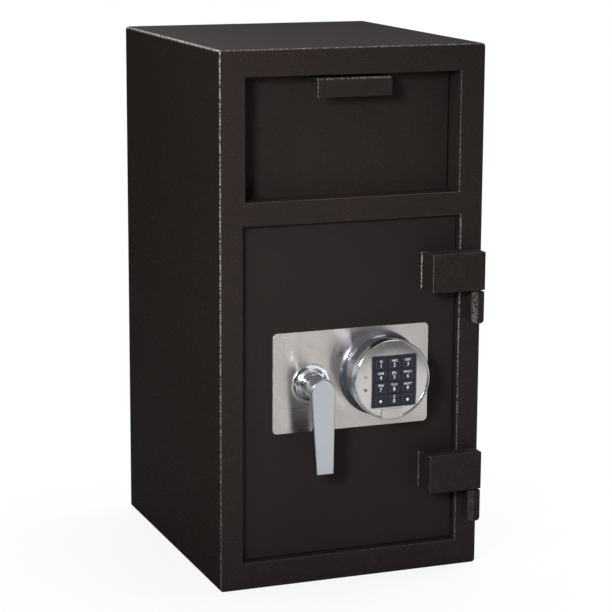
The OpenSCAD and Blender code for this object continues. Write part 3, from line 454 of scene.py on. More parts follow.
# %% The finishes of this safe
ALONG_X = (40.0, 900.0, 2200.0)
ALONG_Z = (2600.0, 900.0, 60.0)
finish = {
    # The shell's colour is darker than the front's, in part as painted shade for its sides.
    "shell_paint": powder_coat("Textured charcoal coat", colour(27, 21, 18), grain=360.0,
                               height=0.7, sparkle=0.9, roughness=0.62, thin=0.9),
    "front_paint": powder_coat("Charcoal coat", colour(40, 33, 32), grain=420.0, height=0.5,
                               sparkle=0.36, roughness=0.6, thin=0.8),
    "door_paint": powder_coat("Matt charcoal coat", colour(39, 33, 32), grain=480.0,
                              height=0.3, sparkle=0.15, roughness=0.62, thin=0.5),
    "raw_steel": bare_metal("Zinc plated steel", colour(150, 150, 152), roughness=0.42),
    "polished_steel": bare_metal("Polished steel", colour(196, 198, 202), depth=0.03,
                                 roughness=0.16),
    "cast_zinc": bare_metal("Cast zinc", colour(170, 172, 174), depth=0.25, roughness=0.5),
    "copper_brass": bare_metal("Plain brass", colour(196, 142, 92), depth=0.06, roughness=0.3),
    "satin_plate": bare_metal("Satin steel", colour(227, 220, 216), stretch=ALONG_X,
                              depth=0.04, roughness=0.25, brushed=0.92, turn=0.25),
    "satin_lever": bare_metal("Pearl chrome", colour(180, 186, 191), depth=0.01,
                              roughness=0.15),
    "chrome_ring": bare_metal("Polished chrome", colour(226, 229, 233), depth=0.0,
                              roughness=0.07),
    # The keypad's barrel and foot are chrome too; this darker copy is a painted reflection of a
    # dark room.
    "chrome_painted_dark": bare_metal("Chrome painted dark", colour(136, 138, 149), depth=0.0,
                                roughness=0.16),
    "satin_face": bare_metal("Satin face", colour(206, 202, 200), stretch=ALONG_Z,
                             depth=0.05, roughness=0.24, brushed=0.5),
    "black_rubber": moulded("Black rubber", colour(24, 24, 24), roughness=0.7),
    # The keys' lighter outline colour is a painted highlight on their rims.
    "navy_keys": moulded("Navy silicone", colour(25, 27, 41), roughness=0.55,
                         rim_highlight=colour(72, 74, 92)),
    "green_board": moulded("Coated circuit board", colour(28, 96, 56), roughness=0.3),
    "light_lens": moulded("Clear lens", colour(214, 212, 204), roughness=0.15, height=0.0),
    "black_cable": moulded("Cable sheath", colour(22, 22, 24), roughness=0.4),
    "battery_case": moulded("Battery jacket", colour(58, 58, 64), roughness=0.35),
}
print("finishes:", len(finish))

# %% [markdown]
# ## From a bmesh to a piece
# Every piece of the safe ends in the same way: a mesh, a finish, and the moving body that it
# rides on. Its faces could be shaded flat, but then a bend would show its facets. They are shaded
# smooth instead, with weighted normals, and stay sharp where the surface really turns.

# %% Make a piece from a bmesh
SHARP_FROM = 32.0
body_of_node = {n: b for b, nodes in frame["record"]["behaviour"]["bodies"].items()
                for n in nodes}
slot_of_node = {s["node"]: s["material_slot"] for s in frame["record"]["subparts"]}


def finish_piece(bm, name, body, slot, replaces=()):
    """Turns a bmesh into an object that rides on a body and takes a finish."""
    mesh = bpy.data.meshes.new(name)
    for face in bm.faces:
        face.smooth = True
    bm.to_mesh(mesh)
    bm.free()
    mesh.set_sharp_from_angle(angle=math.radians(SHARP_FROM))
    mesh.materials.append(finish[slot])
    piece = bpy.data.objects.new(name, mesh)
    scene.collection.objects.link(piece)
    weighted = piece.modifiers.new("Weighted normals", "WEIGHTED_NORMAL")
    weighted.keep_sharp = True
    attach(piece, body)
    if replaces:
        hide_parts(*replaces)
    return piece


def tell(piece):
    """Prints a piece's name and how many faces it came out with."""
    print("%s: %d faces" % (piece.name, len(piece.data.polygons)))


print("bodies:", len(set(body_of_node.values())))

# %% [markdown]
# ## Softening an edge
# A sharp edge never catches light, and no real sheet, bar or casting has one. A Bevel modifier
# could soften them, but it can't tell the coat where a bend is. So the edges are bevelled in the
# bmesh, and the new faces carry the attribute `fold`, which says how much bare steel shows on
# them:
# some in the middle of every bend, and more on folds that face the lamps, left and up, as a
# painted glint.

# %% Bevels that mark a fold
FLAT_FROM, BENT_BY = 0.97, 0.17
LEFT_GLINT, TOP_GLINT, LEAST_WEAR = 2.0, 0.7, 0.08


def fold_layer(bm):
    return bm.faces.layers.float.get("fold") or bm.faces.layers.float.new("fold")


def mark_fold(bm, faces, amount=1.0):
    layer = fold_layer(bm)
    for face in faces:
        face[layer] = amount


def fold_wear_and_glint(normal):
    """How much steel a fold shows: most mid-bend, more as painted glint where it faces left or up.
    """
    steepest = max(abs(c) for c in normal)
    bend = min(1.0, max(0.0, (FLAT_FROM - steepest) / BENT_BY))
    forward = max(0.0, -normal.y)
    # Folds that face the lamps, to the left and up, get more steel, as a painted glint.
    to_left = max(0.0, -normal.x) * (forward + max(0.0, normal.z)) * LEFT_GLINT
    upward = max(0.0, normal.z) * forward * TOP_GLINT
    return bend * min(1.0, max(LEAST_WEAR, to_left, upward))


def bevel(bm, edges, width, segments=3, clamp=True, wear_and_glint_share=1.0):
    """Rounds these edges, and marks the new faces as folds. A new layer would lose the faces."""
    layer = fold_layer(bm)
    made = bmesh.ops.bevel(bm, geom=list(edges), offset=width, offset_type="OFFSET",
                           segments=segments, profile=0.5, affect="EDGES", material=-1,
                           clamp_overlap=clamp)
    bm.normal_update()
    for face in made["faces"]:
        face[layer] = wear_and_glint_share * fold_wear_and_glint(face.normal)


def sharp_edges(bm, angle=35.0):
    limit = math.radians(angle)
    return [e for e in bm.edges if len(e.link_faces) == 2 and e.calc_face_angle(0) > limit]


print("wear between left and front: %.2f" % fold_wear_and_glint(Vector((-1, -1, 0)).normalized()))

# %% [markdown]
# ## Cut, copy and soften a solid
# Most parts are shown by a copy of their solid: the loose triangles are merged, the flat faces are
# rejoined, and the sharp edges are softened. They could all be modelled again from nothing, but
# a copy keeps every hole and corner in its place.

# %% Cut, copy and soften a solid
TINY, SAME_PLACE = 1e-7, 1e-6  # metres
FLAT_ANGLE = 1.0


def cut(bm, point, normal):
    """Removes what lies beyond a plane, and closes the cut with new faces."""
    bmesh.ops.bisect_plane(bm, geom=bm.verts[:] + bm.edges[:] + bm.faces[:], dist=TINY,
                           plane_co=point, plane_no=normal, clear_outer=True)
    edges = [e for e in bm.edges if len(e.link_faces) == 1]
    made = bmesh.ops.holes_fill(bm, edges=edges, sides=0)["faces"]
    bm.normal_update()
    return made


def merged_copy(node):
    """A bmesh of a solid, with its triangles merged back into flat faces."""
    bm = bmesh.new()
    bm.from_mesh(frame["nodes"][node].data)
    bmesh.ops.remove_doubles(bm, verts=bm.verts, dist=SAME_PLACE)
    bmesh.ops.dissolve_limit(bm, angle_limit=math.radians(FLAT_ANGLE), verts=bm.verts,
                             edges=bm.edges)
    return bm


def soften(node, width, segments=2):
    """A softened copy of a solid, which stands for it."""
    bm = merged_copy(node)
    bevel(bm, sharp_edges(bm), width * MM, segments)
    return finish_piece(bm, node + "_skin", body_of_node[node], slot_of_node[node], [node])


print("helpers: cut, merged_copy, soften")

# %% [markdown]
# ## Front frame
# The body is sheet, folded into a tube and welded to a front frame. The frame's outer edge is a
# fold with a radius of about 2.5 mm, and its windows are folded inwards. One bevel for every sharp
# edge would round them all alike, so the edges are picked by place. Only those on the front face
# are rounded, so that the frame still closes flush with the sheet behind it.

# %% Front frame
FOLDS = {"outer": (2.6, 1.0), "hopper": (1.6, 0.5), "door": (2.8, 0.7)}  # width and share of steel with painted glint
FOLD_SEGMENTS = 5
RIM_ZONE, FLUSH = 5.0, 0.05


def on_front(edge):
    return all(abs(v.co.y - FRONT) < FLUSH * MM for v in edge.verts)


def edge_middle(edge):
    return (edge.verts[0].co + edge.verts[1].co) / 2


def make_front_frame():
    """The frame with a width and a share of steel and painted glint of its own for each row of
    folds.
    """
    bm = merged_copy("front_frame")
    side, top = high("front_frame").x, high("front_frame").z
    rail = (low("hopper_sleeve").z + high("door_jamb").z) / 2

    def is_outer(edge):
        point = edge_middle(edge)
        near_side = side - abs(point.x) < RIM_ZONE * MM
        return near_side or point.z < RIM_ZONE * MM or top - point.z < RIM_ZONE * MM

    front = [e for e in sharp_edges(bm) if on_front(e)]
    inner = [e for e in front if not is_outer(e)]
    rows = {"outer": [e for e in front if is_outer(e)],
            "hopper": [e for e in inner if edge_middle(e).z > rail],
            "door": [e for e in inner if edge_middle(e).z < rail]}
    for row, (width, wear_and_glint_share) in FOLDS.items():
        edges = [e for e in rows[row] if e.is_valid]
        bevel(bm, edges, width * MM, FOLD_SEGMENTS, clamp=False, wear_and_glint_share=wear_and_glint_share)
    return finish_piece(bm, "front_frame_skin", "cabinet", "front_paint", ["front_frame"])


tell(make_front_frame())

# %% [markdown]
# ## Body wrap and the rest of the cabinet's sheet
# The wrap is one long sheet with four bends. Its solid already has the bends, so nothing is
# bevelled, and their faces are only marked with their share of bare steel and painted glint. The
# cabinet's other sheets have sheared edges, and a fine bevel all round shows them well enough.

# %% Body wrap and the rest of the cabinet's sheet
BEND_ZONE, SHEET_EDGE = 4.4, 0.3


def make_wrap():
    """The wrap, with the faces of its bends marked as folds."""
    bm = merged_copy("body_wrap")
    side, top = high("body_wrap").x, high("body_wrap").z
    fold_layer(bm)
    for face in bm.faces:
        point = face.calc_center_median()
        round_side = side - abs(point.x) < BEND_ZONE * MM
        round_end = top - point.z < BEND_ZONE * MM or point.z < BEND_ZONE * MM
        if round_side and round_end:
            mark_fold(bm, [face], fold_wear_and_glint(face.normal))
    return finish_piece(bm, "body_wrap_skin", "cabinet", "shell_paint", ["body_wrap"])


tell(make_wrap())
for node in ("back_panel", "door_jamb", "hopper_sleeve", "door_stops", "bolt_keeper",
             "hopper_baffle"):
    soften(node, SHEET_EDGE)
print("cabinet sheet dressed")

# %% [markdown]
# ## Parts that a plain softening suits
# Plates, bars, covers and screws have edges that are broken evenly all round. They could be
# modelled again with more detail, but most lie inside, and their solids already have the right
# form. So one call for each is enough. The numbers are the widths of the edges in millimetres.

# %% Parts that a plain softening suits
SOFTENED = {
    "hinge_arms": 1.4, "hinge_washers": 0.3, "hinge_pins": 0.4,
    "hopper_panel": 0.8, "hopper_cheek_left": 0.3, "hopper_cheek_right": 0.3,
    "hopper_tray": 0.3, "hopper_rod": 0.4, "rod_clips": 0.3, "hopper_bumper": 0.4,
    "door_plate": 0.9, "trim_plate": 0.45, "dead_bar": 0.8, "bolt_guide": 0.5,
    "plate_rest": 0.4, "lock_case": 0.6, "lock_cover": 0.4, "boltwork_cover": 0.3,
    "door_screws": 0.3, "circuit_board": 0.2, "key_mat": 0.2, "lock_lead": 0.2,
    "handle_spindle": 0.4, "handle_cam": 0.5, "bolt_bar": 0.6, "drive_plate": 0.4,
    "live_bolts": 0.4, "bolt_screws": 0.4, "lock_bolt": 0.4, "battery": 0.8,
}
for node, width in SOFTENED.items():
    soften(node, width, segments=3)
print("softened:", len(SOFTENED))

# %% [markdown]
# ## Hinge knuckles
# A knuckle is a strip, rolled round its pin, so its left front edge is broadly rounded. A bevel
# as wide as this could run into the hole for the pin. So the edge is cut by planes instead, each
# turned a little further than the last.

# %% Hinge knuckles
KNUCKLE_ROUND, KNUCKLE_EDGE, KNUCKLE_WEAR = 7.0, 0.6, 0.3
KNUCKLE_STEP = 9
CLEAR_CORNER = 50.0


def make_knuckles():
    bm = merged_copy("hinge_knuckles")
    fold_layer(bm)
    radius = KNUCKLE_ROUND * MM
    centre = low("hinge_knuckles") + Vector((radius, radius, 0))
    for angle in range(KNUCKLE_STEP, 90, KNUCKLE_STEP):
        normal = -Vector((math.cos(math.radians(angle)), math.sin(math.radians(angle)), 0))
        mark_fold(bm, cut(bm, centre + normal * radius, normal), KNUCKLE_WEAR)
    bevel(bm, sharp_edges(bm, CLEAR_CORNER), KNUCKLE_EDGE * MM, 2)
    return finish_piece(bm, "hinge_knuckles_skin", "cabinet", "front_paint",
                        ["hinge_knuckles"])


tell(make_knuckles())

# %% [markdown]
# ## Weld beads of the hinge arms
# Each arm is welded to the door along its left end, and paint has smoothed the bead. It could be
# a row of small overlapping discs, but those would be lost under the paint. A quarter round, drawn
# out upwards, has the same look.

# %% Weld beads of the hinge arms
BEAD, BEAD_END, BEAD_STEP = 2.4, 1.0, 15
END_FACE = 0.1


def draw_out(bm, faces, way):
    """Extrudes faces along a vector, as a bar is drawn out from its section."""
    made = bmesh.ops.extrude_face_region(bm, geom=faces)["geom"]
    moved = [v for v in made if isinstance(v, bmesh.types.BMVert)]
    bmesh.ops.translate(bm, verts=moved, vec=way)
    bmesh.ops.recalc_face_normals(bm, faces=bm.faces)


def make_bead(bottom, top, name):
    """A bead in the corner between an arm's left end and the door, from bottom to top."""
    x, y = low("hinge_arms").x, low("door_plate").y
    turns = [math.radians(angle) for angle in range(0, 91, BEAD_STEP)]
    outline = [(x, y)] + [(x - BEAD * MM * math.cos(a), y - BEAD * MM * math.sin(a))
                          for a in turns]
    bm = bmesh.new()
    end = bm.faces.new([bm.verts.new((px, py, bottom)) for px, py in outline])
    draw_out(bm, [end], Z * (top - bottom))
    fold_layer(bm)
    for face in bm.faces:
        mark_fold(bm, [face], fold_wear_and_glint(face.normal))
    return finish_piece(bm, name, "door", "front_paint")


arm_end = low("hinge_arms").x + END_FACE * MM
arm_heights = sorted({round(v.co.z, 4) for v in frame["nodes"]["hinge_arms"].data.vertices
                      if v.co.x < arm_end})
make_bead(arm_heights[0] + BEAD_END * MM, arm_heights[1] - BEAD_END * MM, "hinge_weld_lower")
make_bead(arm_heights[-2] + BEAD_END * MM, arm_heights[-1] - BEAD_END * MM, "hinge_weld_upper")
print("hinge arm ends:", [round(h / MM) for h in arm_heights])

# %% [markdown]
# ## Hopper pull
# A strip of the same sheet, bent over at the top, so that fingers go behind it. A bevelled box
# could stand for it, but the sheet would be thicker in the bend. So it is drawn as an outline of
# the bent sheet, with an arc inside and one outside, and drawn out along its width.

# %% Hopper pull
PULL_SHEET, PULL_BEND, PULL_EDGE, PULL_GLINT = 3.0, 4.2, 0.7, 1.6
ROOT_ZONE = 0.5
TILTED = 0.2


def arc(centre, radius, start, end, steps):
    """Points on an arc in the plane of depth and height, angles in degrees."""
    for i in range(steps + 1):
        angle = math.radians(start + (end - start) * i / steps)
        yield centre[0] + radius * math.cos(angle), centre[1] + radius * math.sin(angle)


def make_pull():
    near, far = low("hopper_pull"), high("hopper_pull")
    sheet, bend = PULL_SHEET * MM, PULL_BEND * MM
    centre = near.y + bend, far.z - bend
    outline = [(far.y, far.z), *arc(centre, bend, 90, 180, 8), (near.y, near.z),
               (near.y + sheet, near.z), *arc(centre, bend - sheet, 180, 90, 4),
               (far.y, far.z - sheet)]
    bm = bmesh.new()
    end = bm.faces.new([bm.verts.new((near.x, y, z)) for y, z in outline])
    draw_out(bm, [end], X * (far.x - near.x))
    free = [e for e in sharp_edges(bm, CLEAR_CORNER)
            if edge_middle(e).y < far.y - ROOT_ZONE * MM]
    bevel(bm, free, PULL_EDGE * MM, 3)
    # The bend's faces that turn up and forward get extra steel, as a painted glint along the
    # pull's top.
    for face in bm.faces:
        if face.normal.z > TILTED and face.normal.y < -TILTED:
            mark_fold(bm, [face], PULL_GLINT * fold_wear_and_glint(face.normal))
    return finish_piece(bm, "hopper_pull_skin", "hopper", "front_paint", ["hopper_pull"])


tell(make_pull())

# %% [markdown]
# ## Turned parts
# The rose, the keypad's base and its bezel are turned on a lathe. Stacked cylinders could stand
# for them, but each groove and soft lip would need several. One outline of radius and height,
# spun round its axis, holds them all.

# %% Spin an outline
MOST_OF_SIDE = 0.45


def turned(outline, centre, steps=128, closed=True, start=0.0, sweep=math.tau):
    """A bmesh spun about an axis along Y. The outline gives radius and distance out, in mm."""
    bm = bmesh.new()
    points = [bm.verts.new((centre.x + r * MM * math.cos(start), FRONT - out * MM,
                            centre.z + r * MM * math.sin(start))) for r, out in outline]
    pairs = list(zip(points, points[1:] + points[:1] if closed else points[1:]))
    edges = [bm.edges.new(pair) for pair in pairs]
    full = sweep >= math.tau
    bmesh.ops.spin(bm, geom=points + edges, cent=Vector((centre.x, 0, centre.z)), axis=-Y,
                   angle=sweep, steps=steps, use_merge=full, use_duplicate=False)
    bmesh.ops.remove_doubles(bm, verts=bm.verts, dist=TINY)
    if not full:
        bmesh.ops.holes_fill(bm, edges=[e for e in bm.edges if len(e.link_faces) == 1], sides=0)
    bmesh.ops.recalc_face_normals(bm, faces=bm.faces)
    return bm


def rounded(corners, steps=4):
    """Softens each corner of a closed outline by about the radius that it comes with."""
    points = []
    for i, corner in enumerate(corners):
        here, r = Vector(corner[:2]), corner[2]
        if r <= 0:
            points.append(tuple(here))
            continue
        before = Vector(corners[i - 1][:2]) - here
        after = Vector(corners[(i + 1) % len(corners)][:2]) - here
        half = before.angle(after) / 2
        reach = min(r / math.tan(half), before.length * MOST_OF_SIDE,
                    after.length * MOST_OF_SIDE)
        a, b = here + before.normalized() * reach, here + after.normalized() * reach
        for s in range(steps + 1):
            t = s / steps
            points.append(tuple(a * (1 - t) ** 2 + here * 2 * t * (1 - t) + b * t ** 2))
    return points


print("helpers: turned, rounded")

# %% [markdown]
# ## Rose of the handle
# The rose is a polished ring that covers the spindle's hole in the trim plate. It could be a
# softened copy of its solid, but polish shows every facet, so it is spun anew in finer steps.

# %% Rose of the handle
SPINDLE_BORE_R, ROSE_RIM, COLLAR_FOOT_R, COLLAR_R = 8.1, 2.6, 20.5, 18.0
plate_out = (FRONT - low("trim_plate").y) / MM
handle = middle("handle_rose")
rose_r = (high("handle_rose").x - low("handle_rose").x) / 2 / MM
rim_out = plate_out + ROSE_RIM
collar_out = (FRONT - low("handle_rose").y) / MM
rose_outline = rounded([
    (SPINDLE_BORE_R, plate_out, 0), (rose_r, plate_out, 0), (rose_r, rim_out, 1.2),
    (COLLAR_FOOT_R, rim_out, 1.6), (COLLAR_R, collar_out, 1.4),
    (SPINDLE_BORE_R, collar_out, 0)])
tell(finish_piece(turned(rose_outline, handle), "handle_rose_skin", "door", "chrome_ring",
                  ["handle_rose"]))

# %% [markdown]
# ## Lever
# The lever is one casting: a round hub that comes forward and a tapered arm that hangs from it.
# Subdivision could soften it all, but it would also bend the flat face. So the arm's outline is
# drawn once, thickened, and bevelled more at the front, where a hand wears it.

# %% Lever
HUB_R = 16.0
HUB_STEP = 6
LEVER = {"length": (handle.z - low("handle_lever").z) / MM, "left": 8.6, "right": 14.7,
         "thick": 9.0}
LEVER_FACE_EDGE, LEVER_BACK_EDGE = 1.5, 0.8
LEVER_END_ZONE = 0.9


def in_plane(edge, y):
    return all(abs(v.co.y - y) < SAME_PLACE for v in edge.verts)


def make_lever():
    lever_out = (FRONT - low("handle_lever").y) / MM
    face_y = FRONT - lever_out * MM
    back_y = FRONT - (lever_out - LEVER["thick"]) * MM
    turns = [math.radians(angle) for angle in range(0, 181, HUB_STEP)]
    outline = [(HUB_R * math.cos(a), HUB_R * math.sin(a)) for a in turns]
    outline += [(-LEVER["left"], -LEVER["length"]), (LEVER["right"], -LEVER["length"])]
    bm = bmesh.new()
    back = bm.faces.new([bm.verts.new((handle.x + x * MM, back_y, handle.z + z * MM))
                         for x, z in outline])
    draw_out(bm, [back], -Y * LEVER["thick"] * MM)
    bevel(bm, [e for e in sharp_edges(bm) if in_plane(e, face_y)], LEVER_FACE_EDGE * MM, 4)
    end_z = handle.z - LEVER_END_ZONE * LEVER["length"] * MM
    rest = [e for e in sharp_edges(bm) if e.verts[0].co.z < end_z or in_plane(e, back_y)]
    bevel(bm, rest, LEVER_BACK_EDGE * MM, 3)
    return finish_piece(bm, "handle_lever_arm", "handle", "satin_lever", ["handle_lever"])


tell(make_lever())
print("lever: %.0f mm from axis to end" % LEVER["length"])

# %% [markdown]
# ## Hub of the lever
# Behind the arm's round end stands the hub, which holds the spindle. It could be drawn out with
# the arm, but it is round and stands further back. So it is spun, a little slimmer than the arm's
# round, and reaches a little into it.

# %% Hub of the lever
HUB_INSET, HUB_OVERLAP = 0.1, 0.5


def make_hub():
    base_out = (FRONT - high("handle_lever").y) / MM
    top_out = (FRONT - low("handle_lever").y) / MM - LEVER["thick"] + HUB_OVERLAP
    hub_r = HUB_R - HUB_INSET
    outline = rounded([(SPINDLE_BORE_R, base_out, 0), (hub_r, base_out, 1.2),
                       (hub_r, top_out, 0), (SPINDLE_BORE_R, top_out, 0)])
    return finish_piece(turned(outline, handle), "handle_hub", "handle", "satin_lever")


tell(make_hub())

# %% [markdown]
# ## Keypad base
# The keypad stands on a turned chrome foot with a fine groove and a slope towards the barrel. Its
# chrome is painted dark, as a painted reflection of the dark room round it. The groove could be a
# dark line in the material, but it has to catch the light on its lower lip, so it is part of the
# outline. The hole in the middle is for the cable.

# %% Keypad base
CABLE_BORE_R = 16.0
BARREL_INSET, EDGE_INSET, BARREL_FOOT = 2.0, 0.9, 0.4
# Each corner is given by how far it lies beyond the rim, how far along the axis, and its radius.
GROOVE = [(0.0, 1.2, 0.5), (-0.7, 1.6, 0.2), (-0.7, 2.1, 0.2), (0.0, 2.5, 0.2)]
SHOULDER = [(0.0, -3.0, 0.4), (-1.6, -2.0, 0.2), (-1.9, -1.5, 0.2), (-3.2, -0.8, 0.2)]
pad = middle("keypad_base")
pad_r = (high("keypad_base").x - low("keypad_base").x) / 2 / MM
bezel_r = (high("keypad_housing").x - low("keypad_housing").x) / 2 / MM
barrel_r = bezel_r - BARREL_INSET
edge_r = bezel_r - EDGE_INSET
housing_out = (FRONT - high("keypad_housing").y) / MM
face_out = (FRONT - low("keypad_face").y) / MM
groove = [(pad_r + beyond, plate_out + along, r) for beyond, along, r in GROOVE]
shoulder = [(pad_r + beyond, housing_out + along, r) for beyond, along, r in SHOULDER]
base_outline = rounded([
    (CABLE_BORE_R, plate_out, 0), (pad_r, plate_out, 0), *groove, *shoulder,
    (barrel_r + BARREL_FOOT, housing_out, 0), (CABLE_BORE_R, housing_out, 0)])
tell(finish_piece(turned(base_outline, pad, steps=160), "keypad_base_skin", "door",
                  "chrome_painted_dark", ["keypad_base"]))
print("keypad base radius %.1f mm, bezel %.1f mm" % (pad_r, bezel_r))

# %% [markdown]
# ## Outlines of the barrel and the bezel
# The housing is a chrome barrel with two ribs at its foot and a polished bezel at its front. The
# barrel's chrome is painted dark, as a painted reflection of the dark room round it. One outline
# could hold both, but they have different finishes, so each has its own. The ribs could be rings
# of their own too, but as corners of the outline they can't come apart from the barrel.

# %% Outlines of the barrel and the bezel
BORE_R, RECESS_R = 47.5, 49.4
BARREL_LENGTH, BEZEL_FLARE, BEZEL_ROUND = 25.0, 0.9, 1.4
LIP, RECESS = 0.4, 3.0
RIBS = [(0.0, 0.6, 0.2), (1.0, 1.2, 0.3), (1.0, 2.6, 0.3), (-0.2, 3.2, 0.2), (-0.2, 4.0, 0.2),
        (0.5, 4.5, 0.3), (0.5, 5.8, 0.3), (0.0, 6.4, 0.2)]
bezel_back = housing_out + BARREL_LENGTH
recess_out = face_out - RECESS
ribs = [(barrel_r + beyond, housing_out + along, r) for beyond, along, r in RIBS]
barrel_outline = rounded([
    (BORE_R, housing_out, 0), (barrel_r, housing_out, 0), *ribs, (barrel_r, bezel_back, 0),
    (BORE_R, bezel_back, 0)])
bezel_side = [(barrel_r, bezel_back, 0), (edge_r, bezel_back + BEZEL_FLARE, 0.4)]
front_round = [(r, out, 0) for r, out in
               arc((edge_r - BEZEL_ROUND, face_out - BEZEL_ROUND), BEZEL_ROUND, 0, 90, 8)]
bezel_outline = rounded([
    (BORE_R, bezel_back, 0), *bezel_side, *front_round, (RECESS_R, face_out - LIP, 0),
    (RECESS_R, recess_out, 0), (BORE_R, recess_out, 0)])
print("points: %d on the barrel, %d on the bezel" % (len(barrel_outline), len(bezel_outline)))

# %% [markdown]
# ## Two rings with a gap for the tray
# Both rings are open at the bottom, where the battery tray fills the rim. They could be spun only
# part of the way round, but the tray's sides are straight. So each ring is spun in full, and two
# upright planes open it, a little wider than the tray.

# %% Two rings with a gap for the tray
TRAY_PLAY = 0.3
tray_half = (high("battery_tray").x - low("battery_tray").x) / 2


def open_gap(bm, half):
    """Takes out the bottom of a ring, from half a gap left of its middle to half a gap right."""
    for side in (-1, 1):
        below = [f for f in bm.faces if f.calc_center_median().z < pad.z]
        edges = list({e for f in below for e in f.edges})
        verts = list({v for f in below for v in f.verts})
        bmesh.ops.bisect_plane(bm, geom=verts + edges + below, dist=TINY,
                               plane_co=Vector((pad.x + side * half, 0, 0)), plane_no=X)
    inside = [f for f in bm.faces if f.calc_center_median().z < pad.z
              and abs(f.calc_center_median().x - pad.x) < half]
    bmesh.ops.delete(bm, geom=inside, context="FACES")
    bmesh.ops.holes_fill(bm, edges=[e for e in bm.edges if len(e.link_faces) == 1], sides=0)
    bmesh.ops.recalc_face_normals(bm, faces=bm.faces)


for label, outline, slot in (("keypad_barrel", barrel_outline, "chrome_painted_dark"),
                             ("keypad_bezel", bezel_outline, "chrome_ring")):
    ring = turned(outline, pad, steps=200)
    open_gap(ring, tray_half + TRAY_PLAY * MM)
    tell(finish_piece(ring, label, "door", slot, ["keypad_housing"]))
print("bezel gap %.1f mm" % (2 * (tray_half / MM + TRAY_PLAY)))

# %% [markdown]
# ## Face plate
# The face is a brushed disc with a window for the keys. Towards its rim it drops away a little,
# which is why it darkens there. A spun disc would have no window, but the solid has it and the
# holes for the lights. So its copy is cut all round by planes, and the points that this gives are
# lowered the more the further out they lie.

# %% Face plate with a dropped rim
FACE_FLAT_R, FACE_DROP = 20.0, 1.8
FACE_CUTS = (-46, -41, -36, -31, -25, 25, 31, 36, 41, 46)  # from the keypad's middle
FACE_CUT_STEP = 15
FACE_SKIN = 0.01


def make_face():
    bm = merged_copy("keypad_face")
    for angle in range(0, 180, FACE_CUT_STEP):
        normal = Vector((math.cos(math.radians(angle)), 0, math.sin(math.radians(angle))))
        for offset in FACE_CUTS:
            bmesh.ops.bisect_plane(bm, geom=bm.verts[:] + bm.edges[:] + bm.faces[:], dist=TINY,
                                   plane_co=pad + normal * offset * MM, plane_no=normal)
    front = FRONT - face_out * MM
    for v in bm.verts:
        r = math.hypot(v.co.x - pad.x, v.co.z - pad.z) / MM
        if v.co.y < front + FACE_SKIN * MM and r > FACE_FLAT_R:
            v.co.y += FACE_DROP * MM * ((r - FACE_FLAT_R) / (RECESS_R - FACE_FLAT_R)) ** 2
    return finish_piece(bm, "keypad_face_skin", "door", "satin_face", ["keypad_face"])


tell(make_face())
tell(soften("key_frame", SHEET_EDGE))

# %% [markdown]
# ## Bright border of the key field
# The window's edge is coined, and it catches the light all round the keys. It could be a bevel of
# the face, but it is brighter than the brushed disc. So it is a thin frame with a finish of its
# own: a rectangle, inset, with its middle taken out and the rest thickened.

# %% Bright border of the key field
BORDER_W, BORDER_OUT, BORDER_THICK, BORDER_EDGE = 0.8, 0.1, 0.6, 0.15


def make_border():
    near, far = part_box("key_frame")
    around = Vector((1, 0, 1)) * BORDER_W * MM
    near, far = near - around, far + around
    y = FRONT - (face_out + BORDER_OUT) * MM
    bm = bmesh.new()
    field = bm.faces.new([bm.verts.new((x, y, z)) for x, z in (
        (near.x, near.z), (far.x, near.z), (far.x, far.z), (near.x, far.z))])
    bmesh.ops.inset_region(bm, faces=[field], thickness=BORDER_W * MM, use_boundary=True)
    bmesh.ops.delete(bm, geom=[field], context="FACES_ONLY")
    draw_out(bm, bm.faces[:], Y * BORDER_THICK * MM)
    bevel(bm, sharp_edges(bm), BORDER_EDGE * MM, 2)
    return finish_piece(bm, "key_field_border", "door", "chrome_ring")


tell(make_border())

# %% [markdown]
# ## Battery tray
# The tray's front fills the gap in the rim, and the bezel's round runs on over it. It could be
# what was cut out of the bezel, but the tray also reaches inwards and takes a satin finish. So it
# is a short sector of a spin with the bezel's own outline, cut straight at its sides and its top.

# %% Tray front
TRAY_INNER_R, TRAY_TOP, TRAY_SECTOR = 30.0, 37.5, 64.0


def make_tray_front():
    near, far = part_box("battery_tray")
    tray_back_out = (FRONT - far.y) / MM
    outline = rounded([
        (BORE_R, tray_back_out, 0), (barrel_r, tray_back_out, 0), *bezel_side, *front_round,
        (TRAY_INNER_R, face_out, 0), (TRAY_INNER_R, recess_out, 0),
        (BORE_R, recess_out, 0)])
    bm = turned(outline, pad, steps=40, start=math.radians(-90 - TRAY_SECTOR / 2),
                sweep=math.radians(TRAY_SECTOR))
    cut(bm, Vector((far.x, 0, 0)), X)
    cut(bm, Vector((near.x, 0, 0)), -X)
    cut(bm, pad - Z * TRAY_TOP * MM, Z)
    bmesh.ops.recalc_face_normals(bm, faces=bm.faces)
    return finish_piece(bm, "battery_tray_front", "battery_drawer", "satin_plate",
                        ["battery_tray"])


tell(make_tray_front())
print("tray front %.1f mm wide" % (tray_half * 2 / MM))

# %% [markdown]
# ## Cup behind the tray front
# Behind the front hangs the cup that holds the battery. A Boolean modifier could hollow a box,
# but an inset of its top face, pushed down, gives even walls in one step.

# %% Cup behind the tray front
CUP_GAP, CUP_WALL, CUP_EDGE = 0.2, 1.2, 0.25


